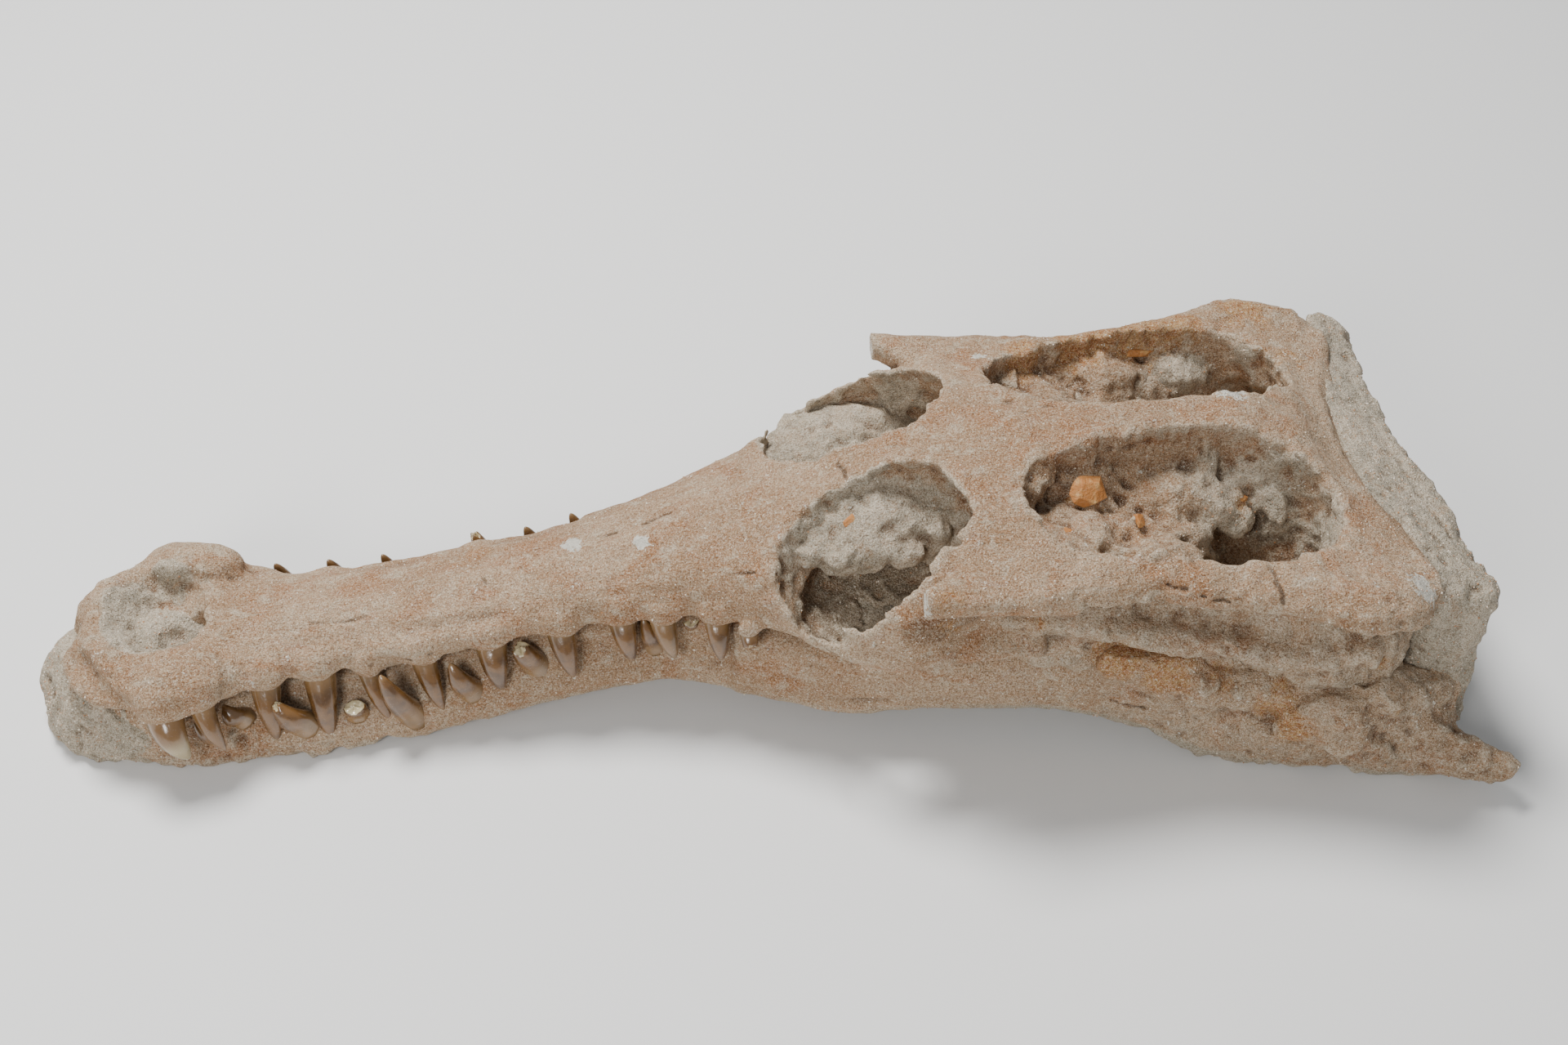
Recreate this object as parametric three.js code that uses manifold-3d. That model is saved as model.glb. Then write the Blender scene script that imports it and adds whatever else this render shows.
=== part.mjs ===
// Skull of a long-snouted fossil crocodile, its jaws shut and still held in the rock it lay in.
//
// Millimetres, +Z up. The snout points to -X, the skull's left side to -Y, and the lower jaw
// rests on the plane z = 0. A width is measured from the midline, so it is half the full size.

import * as THREE from 'three';
import { mergeVertices } from 'three/addons/utils/BufferGeometryUtils.js';
import Module from 'manifold-3d';

const wasm = await Module();
wasm.setup();

// ---------------------------------------------------------------- driving dimensions

const CENTRE_SHIFT = 20.5; // moves the middle of the length onto the origin
const GAP = 0.5; // clearance between two neighbouring pieces
const CUT_GAP = 0.8; // the same where one piece is cut to the shape of another
const BITE_GAP = 1.2; // between the lip of the muzzle and the lower jaw

const MUZZLE = { tip: -343, notch: -252, back: 108 };
const JAW = { tip: -334, chinBack: 30, ramusFront: -30, back: 302, contact: 1.5 };
const TABLE = { front: 62, back: 279, underside: 86, notch: 21, notchWidth: 86, notchStart: 190 };
const CREST_HEIGHT = 143;
const NARIS = { centre: [-301, 2, 66], radii: [25, 28, 21] };
const ORBIT = { centre: [38, 43, 106], radii: [50, 34, 38], tilt: 0.42 };
const FENESTRA = { front: 98, back: 244, inner: 6, outer: 83, rim: 120 };
const PRONG = { tip: 49, root: 116, thickness: 13 };
const SPIKE = { root: 268, tip: 321, rootOut: 98, tipOut: 121 };
const CHEEK_BACK = 270;
const REAR_ROCK = { front: 256, tongueWidth: 58, frontHeight: 114, slope: 0.26, foot: 12 };

const LOOKS = {
  bone: { color: 0xc9a585, roughness: 0.86, metalness: 0 },
  jawBone: { color: 0xbf9e80, roughness: 0.88, metalness: 0 },
  rock: { color: 0xb3ae9e, roughness: 0.96, metalness: 0 },
};

// ---------------------------------------------------------------- profiles along the skull

// A smooth function of x through a few named stations, with no overshoot between them.
function profile(stations) {
  const last = stations.length - 1;
  const slopes = stations.map(([x, value], i) => {
    if (i === 0 || i === last) return 0;
    const before = (value - stations[i - 1][1]) / (x - stations[i - 1][0]);
    const after = (stations[i + 1][1] - value) / (stations[i + 1][0] - x);
    return before * after <= 0 ? 0 : (2 * before * after) / (before + after);
  });
  return (x) => {
    if (x <= stations[0][0]) return stations[0][1];
    if (x >= stations[last][0]) return stations[last][1];
    const i = stations.findIndex((station) => station[0] > x) - 1;
    const span = stations[i + 1][0] - stations[i][0];
    const t = (x - stations[i][0]) / span;
    return (
      stations[i][1] * (1 + 2 * t) * (1 - t) ** 2 +
      slopes[i] * span * t * (1 - t) ** 2 +
      stations[i + 1][1] * t * t * (3 - 2 * t) +
      slopes[i + 1] * span * t * t * (t - 1)
    );
  };
}

const midline = profile([[-260, 0], [-131, 1.5], [-50, 5], [0, 2], [40, 0]]);
const muzzleWidth = profile([
  [MUZZLE.tip, 14], [-338, 27], [-326, 39], [-308, 46], [-288, 49], [-270, 44],
  [MUZZLE.notch, 33], [-236, 30], [-150, 29], [-100, 30], [-75, 33], [-50, 39], [-20, 50],
  [0, 60], [22, 78], [45, 84], [MUZZLE.back, 84],
]);
const muzzleTop = profile([
  [MUZZLE.tip, 47], [-330, 57], [-305, 61], [-272, 59], [-212, 62], [-150, 71], [-79, 86],
  [-40, 98], [0, 112], [27, 122], [51, 133], [MUZZLE.back, 138],
]);
const biteLine = profile([
  [MUZZLE.tip, 37], [-270, 37], [-215, 34], [-175, 40], [-142, 46], [-108, 52], [-60, 59],
  [0, 62], [110, 60],
]);
const jawWidth = profile([
  [JAW.tip, 22], [-322, 36], [-300, 44], [-230, 46], [-188, 43], [-149, 38], [-110, 35],
  [-70, 36], [-30, 43], [8, 56], [46, 67], [86, 71], [124, 77], [160, 85], [196, 96],
  [235, 108], [262, 112], [280, 110], [JAW.back, 100],
]);
const jawFloor = profile([
  [JAW.tip, 6], [-320, 0], [-185, 0], [-149, 6], [-110, 13], [-70, 17], [8, 18], [60, 24],
  [100, 24], [160, 14], [200, 4], [225, 0], [JAW.back, 0],
]);
const ramusTop = profile([[-30, 58], [100, 58], [260, 59], [JAW.back, 50]]);
const ramusThickness = profile([[-30, 20], [60, 24], [200, 30], [JAW.back, 30]]);
const crestHeight = profile([
  [TABLE.front, 132], [96, 138], [135, CREST_HEIGHT], [200, CREST_HEIGHT], [240, 132],
  [TABLE.back, 116],
]);
const tableWidth = profile([
  [TABLE.front, 66], [80, 84], [97, 94], [116, 91], [147, 89], [170, 93], [203, 103],
  [240, 116], [262, 112], [TABLE.back, 96],
]);
const tableEdge = profile([
  [TABLE.front, 123], [110, 124], [165, 123], [203, 121], [243, 117], [TABLE.back, 111],
]);

// ---------------------------------------------------------------- mesh helpers

function welded(geometry) {
  geometry.deleteAttribute('normal');
  geometry.deleteAttribute('uv');
  return mergeVertices(geometry, 1e-4);
}

function solidOf(geometry) {
  const skin = welded(geometry);
  return new wasm.Manifold(
    new wasm.Mesh({
      numProp: 3,
      vertProperties: Float32Array.from(skin.attributes.position.array),
      triVerts: Uint32Array.from(skin.index.array),
    }),
  );
}

// The outward direction of a ring at one of its corners, square to the corner's neighbours.
function outward(section, x, turn, step) {
  const before = section(x, (turn + 1 - step) % 1);
  const after = section(x, (turn + step) % 1);
  const along = [after[0] - before[0], after[1] - before[1]];
  const length = Math.hypot(...along) || 1;
  return [along[1] / length, -along[0] / length];
}

// A closed body along X. section(x, turn) gives [y, z] and at need a shift along X, with turn
// running once round from the crown over the left side. section(x, null) is the rings' middle.
// A clearance moves the skin outward all round and both ends out along X.
function loft(from, to, steps, around, section, clearance = 0) {
  const geometry = new THREE.CylinderGeometry(1, 1, 1, around, steps);
  const { position } = geometry.attributes;
  for (let i = 0; i < position.count; i += 1) {
    const t = position.getY(i) + 0.5;
    const x = from + (to - from) * t;
    const onAxis = Math.hypot(position.getX(i), position.getZ(i)) < 0.5;
    const angle = Math.atan2(position.getX(i), position.getZ(i)) / (2 * Math.PI);
    const turn = (angle + 1.5) % 1;
    const [y, z, shift = 0] = section(x, onAxis ? null : turn);
    const [outY, outZ] = onAxis ? [0, 0] : outward(section, x, turn, 1 / around);
    const end = (t === 1) - (t === 0);
    position.setXYZ(i, x + shift + clearance * end, y + clearance * outY, z + clearance * outZ);
  }
  return solidOf(geometry);
}

const power = (value, exponent) => Math.sign(value) * Math.abs(value) ** exponent;

// An oval ring, with a roundness of its own above and below its widest level.
function oval(turn, { y, width, top, bottom, level, roundTop, roundBottom }) {
  if (turn === null) return [y, level];
  const across = -Math.sin(2 * Math.PI * turn);
  const upward = Math.cos(2 * Math.PI * turn);
  const exponent = 2 / (upward > 0 ? roundTop : roundBottom);
  const reach = upward > 0 ? top - level : level - bottom;
  return [y + width * power(across, exponent), level + reach * power(upward, exponent)];
}

// A ball stretched to the given radii. Squareness under 1 makes it boxier.
function ellipsoid(centre, radii, options = {}) {
  const { clearance = 0, across = 16, rows = 8, squareness = 1, adjust = (p) => p } = options;
  const geometry = new THREE.SphereGeometry(1, across, rows);
  geometry.rotateX(Math.PI / 2);
  const { position } = geometry.attributes;
  for (let i = 0; i < position.count; i += 1) {
    const unit = [position.getX(i), position.getY(i), position.getZ(i)];
    const place = unit.map((u, k) => centre[k] + power(u, squareness) * (radii[k] + clearance));
    position.setXYZ(i, ...adjust(place));
  }
  return solidOf(geometry);
}

// An outline seen from above, its top and underside at heights given by functions.
function slab(outline, topAt, bottomAt) {
  const shape = new THREE.Shape(outline.map(([x, y]) => new THREE.Vector2(x, y)));
  const geometry = new THREE.ExtrudeGeometry(shape, { depth: 1, bevelEnabled: false });
  const { position } = geometry.attributes;
  for (let i = 0; i < position.count; i += 1) {
    const height = position.getZ(i) > 0.5 ? topAt : bottomAt;
    position.setZ(i, height(position.getX(i), position.getY(i)));
  }
  return solidOf(geometry);
}

const joined = (pieces) => pieces.reduce((whole, piece) => whole.add(piece));
const bothSides = (make) => joined([make(-1), make(1)]);

// ---------------------------------------------------------------- cranium

function rostrum(clearance) {
  const section = (x, turn) =>
    oval(turn, {
      y: midline(x),
      width: muzzleWidth(x),
      top: muzzleTop(x),
      bottom: biteLine(x),
      level: biteLine(x) + 0.38 * (muzzleTop(x) - biteLine(x)),
      roundTop: 2.3,
      roundBottom: 4,
    });
  return loft(MUZZLE.tip, MUZZLE.back, 22, 16, section, clearance);
}

// The back of the table is hollowed towards the midline.
function tableShift(x, y) {
  const near = Math.max(0, (x - TABLE.notchStart) / (TABLE.back - TABLE.notchStart));
  return -TABLE.notch * near * near * Math.max(0, 1 - (y / TABLE.notchWidth) ** 2);
}

// The skull table and braincase, from the crest over the outer bar to the palate.
function table(clearance) {
  const halfRing = 10;
  const section = (x, turn) => {
    const width = tableWidth(x);
    const edge = tableEdge(x);
    const half = [
      [0, crestHeight(x)],
      [9, crestHeight(x) - 2],
      [26, (crestHeight(x) + edge) / 2 + 3],
      [52, edge + 2.5],
      [width - 14, edge + 1.5],
      [width - 3, edge - 3],
      [width - 1, edge - 11],
      [width - 12, edge - 18],
      [width - 26, TABLE.underside],
      [width - 34, biteLine(x) + 0.5],
      [0, biteLine(x) + 0.5],
    ];
    if (turn === null) return [0, TABLE.underside, tableShift(x, 0)];
    const step = Math.round(turn * halfRing * 2) % (halfRing * 2);
    const [y, z] = half[step <= halfRing ? step : halfRing * 2 - step];
    return [step <= halfRing ? -y : y, z, tableShift(x, y)];
  };
  return loft(TABLE.front, TABLE.back, 13, halfRing * 2, section, clearance);
}

// The broken corner of the postorbital bone, which juts forward over the orbit.
function prong(side, clearance) {
  const middle = profile([[PRONG.tip, 86.5], [62, 80], [82, 70], [PRONG.root, 64]]);
  const width = profile([[PRONG.tip, 4.5], [62, 10], [82, 19], [PRONG.root, 20]]);
  const top = profile([[PRONG.tip, 126], [82, 123], [PRONG.root, 119]]);
  const section = (x, turn) =>
    oval(turn, {
      y: side * middle(x),
      width: width(x),
      top: top(x),
      bottom: top(x) - PRONG.thickness - (x - PRONG.tip) * 0.1,
      level: top(x) - PRONG.thickness / 2,
      roundTop: 2.6,
      roundBottom: 2.4,
    });
  return loft(PRONG.tip, PRONG.root, 4, 10, section, clearance);
}

function narisCutter(clearance) {
  return ellipsoid(NARIS.centre, NARIS.radii, { clearance });
}

// The eye opening looks up and outward, so its rim drops away from the midline.
function orbitCutter(side, clearance) {
  const [x, out, z] = ORBIT.centre;
  const adjust = (p) => [p[0], p[1], p[2] - ORBIT.tilt * (Math.abs(p[1]) - out)];
  return ellipsoid([x, side * out, z], ORBIT.radii, { clearance, adjust });
}

// The upper temporal opening: a shallow basin in front that drops into a deep hollow behind.
function fenestraCutter(side, clearance) {
  const length = FENESTRA.back - FENESTRA.front;
  const along = (x) => (x - FENESTRA.front) / length;
  const fullWidth = (x) => (FENESTRA.outer - FENESTRA.inner) / 2 - 9 + 9 * along(x);
  const taper = (x) => Math.sqrt(Math.max(0.12, 1 - Math.abs(2 * along(x) - 1) ** 2.6));
  const floor = profile([
    [FENESTRA.front, 118], [112, 108], [150, 104], [182, 96], [205, 78], [FENESTRA.back, 84],
  ]);
  const section = (x, turn) =>
    oval(turn, {
      y: side * ((FENESTRA.inner + FENESTRA.outer) / 2 - 2 + 6 * along(x)),
      width: fullWidth(x) * taper(x) + clearance,
      top: CREST_HEIGHT + 10,
      bottom: floor(x) - clearance,
      level: FENESTRA.rim,
      roundTop: 8,
      roundBottom: 2.6,
    });
  return loft(FENESTRA.front - clearance, FENESTRA.back + clearance, 8, 10, section);
}

// The hollow of the cheek, below the prong and the outer bar.
function cheekCutter(side) {
  return ellipsoid([102, side * 94, 88], [48, 23, 19], { across: 14, rows: 8 });
}

function cranium(clearance) {
  return rostrum(clearance)
    .add(table(clearance))
    .subtract(bothSides((side) => orbitCutter(side, -clearance)))
    .subtract(bothSides((side) => fenestraCutter(side, -clearance)))
    .subtract(bothSides(cheekCutter))
    .subtract(narisCutter(-clearance))
    .add(bothSides((side) => prong(side, clearance)));
}

// ---------------------------------------------------------------- lower jaw

// Flattens the lowest part of a ring onto the ground plane, so that the jaw rests on it.
function grounded([y, z]) {
  return [y, Math.max(0, z)];
}

function symphysis(clearance) {
  const section = (x, turn) => {
    const top = biteLine(x) - BITE_GAP;
    return grounded(
      oval(turn, {
        y: midline(x) * 0.6,
        width: jawWidth(x),
        top,
        bottom: jawFloor(x) - JAW.contact,
        level: jawFloor(x) + 0.14 * (top - jawFloor(x)),
        roundTop: 1.7,
        roundBottom: 4,
      }),
    );
  };
  return loft(JAW.tip, JAW.chinBack, 16, 12, section, clearance);
}

function ramus(side, clearance) {
  const section = (x, turn) =>
    grounded(
      oval(turn, {
        y: side * (jawWidth(x) - ramusThickness(x) / 2),
        width: ramusThickness(x) / 2,
        top: Math.min(ramusTop(x), biteLine(x) - BITE_GAP),
        bottom: jawFloor(x) - JAW.contact,
        level: jawFloor(x) + 18,
        roundTop: 2.4,
        roundBottom: 3.4,
      }),
    );
  return loft(JAW.ramusFront, JAW.back, 13, 10, section, clearance);
}

// The retroarticular process, a blunt thorn at the back corner of the jaw.
function spike(side, clearance) {
  const along = (x) => (x - SPIKE.root) / (SPIKE.tip - SPIKE.root);
  const section = (x, turn) =>
    grounded(
      oval(turn, {
        y: side * (SPIKE.rootOut + (SPIKE.tipOut - SPIKE.rootOut) * along(x)),
        width: 14 - 8 * along(x),
        top: 44 - 20 * along(x),
        bottom: 2 + 6 * along(x),
        level: 20 - 3 * along(x),
        roundTop: 2,
        roundBottom: 2.2,
      }),
    );
  return loft(SPIKE.root, SPIKE.tip, 3, 8, section, clearance);
}

function mandible(clearance) {
  return joined([
    symphysis(clearance),
    bothSides((side) => ramus(side, clearance)),
    bothSides((side) => spike(side, clearance)),
  ]);
}

// ---------------------------------------------------------------- teeth

// Each row: place along the jaw, height of the gum, crown length, root diameter, lean along X.
const UPPER_LEFT = [
  [-294, 38, 25, 15, 0.35], [-277, 40, 21, 11.5, 0.39], [-250, 37, 26, 14, 0.1],
  [-225, 37, 30, 15, 0.07], [-202, 36, 24, 10.5, 0.32], [-176, 41, 24, 12, 0.28],
  [-144, 47, 21, 14.5, 0.15], [-111, 53, 22, 13.5, 0.2], [-82, 57, 19, 13, 0.2],
  [-63, 60, 18, 12, 0.26], [-38, 63, 18, 12, 0.05], [-24, 63, 11, 8.5, 0.05],
];
const LOWER_LEFT = [
  [-276, 14, 14, 10.5, -0.6], [-264, 22, 12, 13, -0.7], [-236, 18, 19, 15, -0.6],
  [-210, 20, 12, 12, -0.05], [-186, 18, 28, 14, -0.34], [-157, 25, 19, 13.5, -0.34],
  [-125, 34, 22, 14, -0.4], [-68, 41, 17, 11, -0.24], [-49, 49, 14, 10, -0.14],
  [-14, 54, 9, 13.5, -0.4],
];
const UPPER_RIGHT = UPPER_LEFT.map(([x, z, length, diameter, lean], i) => [
  x + (i % 2 ? 3 : -4), z, length * (i % 3 ? 0.94 : 1.05), diameter, lean * 0.8,
]);
const LOWER_RIGHT = [
  [-243, 20, 24, 12.5, -0.3], [-217, 19, 25, 13, -0.3], [-190, 20, 26, 12, -0.3],
  [-143, 27, 28, 13.5, -0.3], [-118, 34, 24, 13, -0.3], [-95, 38, 27, 12.5, -0.3],
  [-73, 43, 26, 12, -0.3], [-50, 46, 18, 11, -0.24], [-31, 49, 14, 10, -0.14],
];

// A blunt crown that swells above its gum, leans along the jaw and hooks outward.
function crown({ x, y, z, side, upright, length, diameter, lean, splay }, clearance) {
  const sides = 6;
  const rows = 3;
  const root = 8;
  const geometry = new THREE.CylinderGeometry(0.14, 1, 1, sides, rows);
  const { position } = geometry.attributes;
  const fall = length / Math.hypot(1, lean, splay);
  for (let i = 0; i < position.count; i += 1) {
    const t = position.getY(i) + 0.5;
    const reach = t * (fall + root) - root;
    const above = Math.max(0, reach) / fall;
    const swell = (diameter / 2) * (1 + 0.5 * t * (1 - t));
    const spread = swell + clearance / (Math.hypot(position.getX(i), position.getZ(i)) || 1);
    const bow = 0.1 * length * Math.sin(Math.PI * above);
    position.setXYZ(
      i,
      x + lean * reach + position.getX(i) * spread,
      side * (y + splay * reach + bow) - upright * position.getZ(i) * spread * 0.9,
      z + upright * (reach + (t === 1 ? clearance : 0)),
    );
  }
  return solidOf(geometry);
}

// Upper crowns leave the lip of the muzzle and splay over the flank of the lower jaw.
function upperTeeth(clearance) {
  const row = (list, side) =>
    list.map(([x, z, length, diameter, lean]) => {
      const y = muzzleWidth(x) + side * midline(x) - 5;
      const place = { x, y, z, side, upright: -1, splay: 0.42 };
      return crown({ ...place, length, diameter, lean }, clearance);
    });
  return [...row(UPPER_LEFT, -1), ...row(UPPER_RIGHT, 1)];
}

// Lower crowns stand on the flank of the jaw and lean forward past the muzzle's lip.
function lowerTeeth(clearance) {
  const flank = (x, z) => {
    const rise = (z - jawFloor(x)) / (biteLine(x) - jawFloor(x));
    return jawWidth(x) * (1 - Math.max(0, rise - 0.14) ** 1.7) ** (1 / 1.7);
  };
  const row = (list, side) =>
    list.map(([x, z, length, diameter, lean]) => {
      const y = flank(x, z) + side * midline(x) * 0.6 - 4;
      const place = { x, y, z, side, upright: 1, splay: 0.06 };
      return crown({ ...place, length, diameter, lean }, clearance);
    });
  return [...row(LOWER_LEFT, -1), ...row(LOWER_RIGHT, 1)];
}

// ---------------------------------------------------------------- rock

// The lump of rock round the snout's tip, fuller on the right.
function snoutRock() {
  const skew = ([x, y, z]) => [x - 0.1 * y, y, Math.max(0, z)];
  const options = { squareness: 0.84, adjust: skew };
  return ellipsoid([-321, 3, 10], [41, 45, 31], options);
}

// The slab of rock behind the skull table, down to the floor between the jaw corners, with a
// thinner tongue of it that fills the hollow in the table's back.
function rearRock() {
  const { front, tongueWidth, frontHeight, slope, foot } = REAR_ROCK;
  const shoulder = TABLE.back + GAP;
  const outline = [
    [shoulder, -95], [298, -98], [311, -92], [314, -80], [308, -60], [305, -15], [298, 14],
    [296, 56], [297, 100], [288, 108], [shoulder, 102],
  ];
  const tongue = [
    [front, -tongueWidth], [290, -tongueWidth], [290, tongueWidth], [front, tongueWidth],
  ];
  const top = (x) => frontHeight - slope * (x - front);
  const palate = biteLine(TABLE.back) + CUT_GAP;
  return slab(outline, top, () => foot).add(slab(tongue, top, () => palate));
}

// Rock in the cheek, between the outer bar above and the jaw below.
function cheekRock(side) {
  const section = (x, turn) => {
    const width = tableWidth(x);
    const edge = tableEdge(x);
    const lip = ramusTop(x) + GAP;
    const ring = [
      [width - 23, TABLE.underside - GAP],
      [width - 12, edge - 22],
      [width - 12, edge - 30],
      [width - 15, 74],
      [width - 14, lip],
      [width - 33, lip],
    ];
    if (turn === null) return [side * (width - 20), 76];
    const corner = Math.round(turn * ring.length) % ring.length;
    const [y, z] = ring[side < 0 ? corner : (ring.length - corner) % ring.length];
    return [side * y, z];
  };
  return loft(PRONG.root + GAP, CHEEK_BACK, 11, 6, section);
}

// Rock between the two halves of the lower jaw.
function throatRock() {
  const section = (x, turn) =>
    oval(turn, {
      y: 0,
      width: jawWidth(x) - ramusThickness(x) - CUT_GAP,
      top: biteLine(x) - GAP,
      bottom: jawFloor(x) + 9,
      level: 36,
      roundTop: 7,
      roundBottom: 5,
    });
  return loft(JAW.chinBack + GAP, TABLE.back, 10, 12, section);
}

function narisRock() {
  const [x, y] = NARIS.centre;
  return narisCutter(-GAP).intersect(ellipsoid([x, y, 34], [25, 27, 18]));
}

// Rock left in an orbit: on the inner wall on the left, and nearly to the rim on the right.
function orbitRock(side) {
  const left = { centre: [38, -19, 80], radii: [46, 27, 26] };
  const right = { centre: [32, 62, 70], radii: [50, 40, 25] };
  const { centre, radii } = side < 0 ? left : right;
  const fill = ellipsoid(centre, radii, { squareness: 0.85 });
  return orbitCutter(side, -GAP).intersect(fill);
}

// ---------------------------------------------------------------- the nodes

function meshOf(name, solid, look) {
  const { vertProperties, triVerts, numProp } = solid.getMesh();
  const geometry = new THREE.BufferGeometry();
  geometry.setAttribute('position', new THREE.BufferAttribute(vertProperties, numProp));
  geometry.setIndex(new THREE.BufferAttribute(triVerts, 1));
  geometry.computeVertexNormals();
  const mesh = new THREE.Mesh(geometry, new THREE.MeshStandardMaterial(look));
  mesh.name = name;
  return mesh;
}

const skullCut = cranium(CUT_GAP);
const jawCut = mandible(CUT_GAP);
const upperCut = joined(upperTeeth(CUT_GAP));
const lowerCut = joined(lowerTeeth(CUT_GAP));

const skull = cranium(0).subtract(lowerCut).add(joined(upperTeeth(0)));
const jaw = mandible(0).subtract(upperCut).add(joined(lowerTeeth(0)).subtract(upperCut));
const snout = snoutRock().subtract(skullCut).subtract(jawCut).subtract(upperCut).subtract(lowerCut);
const rear = rearRock().subtract(jawCut).subtract(skullCut);

const group = new THREE.Group();
group.position.x = CENTRE_SHIFT;
group.add(meshOf('cranium', skull, LOOKS.bone));
group.add(meshOf('mandible', jaw, LOOKS.jawBone));
group.add(meshOf('snout_rock', snout, LOOKS.rock));
group.add(meshOf('rear_rock', rear, LOOKS.rock));
group.add(meshOf('throat_rock', throatRock(), LOOKS.rock));
group.add(meshOf('naris_rock', narisRock(), LOOKS.rock));
for (const [name, side] of [['left', -1], ['right', 1]]) {
  group.add(meshOf(`cheek_rock_${name}`, cheekRock(side), LOOKS.rock));
  group.add(meshOf(`orbit_rock_${name}`, orbitRock(side), LOOKS.rock));
}

export default group;
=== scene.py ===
"""Looks of a fossil long-snouted crocodile skull, its jaws shut and still held in rock.

The bone and the rock are modelled as solid forms in blocks of small cubes, joined and cut softly,
carved and roughened, and then turned into meshes. Lengths below are millimetres in the skull's own
coordinates: the snout points to -X, the skull's left side to -Y, and the jaw rests on z = 0.
A width is measured from the midline. Meshes are in metres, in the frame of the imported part.
"""

import math

import bmesh
import bpy
import numpy as np
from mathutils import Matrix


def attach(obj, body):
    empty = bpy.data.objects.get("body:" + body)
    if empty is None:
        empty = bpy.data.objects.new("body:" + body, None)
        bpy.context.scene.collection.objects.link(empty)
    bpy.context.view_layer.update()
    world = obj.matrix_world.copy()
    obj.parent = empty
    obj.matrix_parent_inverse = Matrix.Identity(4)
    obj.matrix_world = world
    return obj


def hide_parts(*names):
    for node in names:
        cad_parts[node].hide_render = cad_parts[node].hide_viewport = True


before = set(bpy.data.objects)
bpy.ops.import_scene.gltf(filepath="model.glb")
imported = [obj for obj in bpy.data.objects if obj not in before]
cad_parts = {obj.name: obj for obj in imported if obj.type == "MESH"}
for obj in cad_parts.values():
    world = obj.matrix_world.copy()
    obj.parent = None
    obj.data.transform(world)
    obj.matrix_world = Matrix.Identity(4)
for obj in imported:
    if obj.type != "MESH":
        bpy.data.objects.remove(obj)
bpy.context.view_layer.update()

import openvdb
from bpy.props import FloatProperty, FloatVectorProperty, IntProperty, PointerProperty
from mathutils import Matrix, Vector

bl_info = {
    "name": "Fossil crocodile skull",
    "version": (1, 0, 0),
    "blender": (4, 5, 0),
    "location": "3D View > Sidebar > Skull",
    "description": "Builds the finished bone, teeth and rock of a fossil skull, and a plain stage",
    "category": "Object",
}

# ---------------------------------------------------------------- driving dimensions (mm)

CENTRE_SHIFT = 20.5  # moves the middle of the length onto the frame's origin
MUZZLE_TIP, MUZZLE_BACK = -343, 108
JAW_TIP, CHIN_BACK, RAMUS_FRONT, JAW_BACK = -334, 30, -30, 302
TABLE_FRONT, TABLE_BACK, TABLE_UNDERSIDE = 62, 279, 86
TABLE_NOTCH, NOTCH_WIDTH, NOTCH_START = 21, 86, 190
NARIS = {"centre": (-301, 2, 66), "radii": (25, 28, 21)}
ORBIT = {"centre": (38, 43, 106), "radii": (50, 34, 38), "tilt": 0.42}
FENESTRA_FRONT, FENESTRA_BACK, FENESTRA_INNER, FENESTRA_OUTER, FENESTRA_RIM = 98, 244, 6, 83, 120
PRONG_TIP, PRONG_ROOT, PRONG_THICKNESS = 49, 116, 13
SPIKE_ROOT, SPIKE_TIP, SPIKE_ROOT_OUT, SPIKE_TIP_OUT = 268, 321, 98, 121

CRANIUM_SOFTNESS, JAW_SOFTNESS, REAR_ROCK_SOFTNESS = 2.6, 2.0, 2.6  # how far edges are rounded
# How deep cracks are and how far they stray, and their real width as a share of the one listed.
CRACK_DEPTH, CRACK_STRAY, CRACK_SHARE = 1.6, 1.0, 0.75
GUM_DEPTH_UPPER, GUM_DEPTH_LOWER = 5, 4  # how far a tooth's root stands inside the jaw's side
UPPER_STRETCH, LOWER_STRETCH = 1.12, 1.04  # makes up for the part of a crown that the gum hides

LEFT, RIGHT = -1, 1


# ---------------------------------------------------------------- profiles along the skull

def profile(*stations):
    """A smooth function of x through a few stations, with no overshoot between them."""
    xs, values = (np.array(column, float) for column in zip(*stations))
    spans = np.diff(xs)
    rates = np.diff(values) / spans
    slopes = np.zeros(len(xs))
    before, after = rates[:-1], rates[1:]
    same_way = before * after > 0
    slopes[1:-1][same_way] = (2 * before * after / np.where(same_way, before + after, 1))[same_way]

    def at(x):
        x = np.clip(x, xs[0], xs[-1])
        i = np.clip(np.searchsorted(xs, x, "right") - 1, 0, len(xs) - 2)
        t = (x - xs[i]) / spans[i]
        ends = values[i] * (1 + 2 * t) * (1 - t) ** 2 + values[i + 1] * t * t * (3 - 2 * t)
        bends = slopes[i] * t * (1 - t) ** 2 + slopes[i + 1] * t * t * (t - 1)
        return ends + spans[i] * bends

    return at


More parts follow.
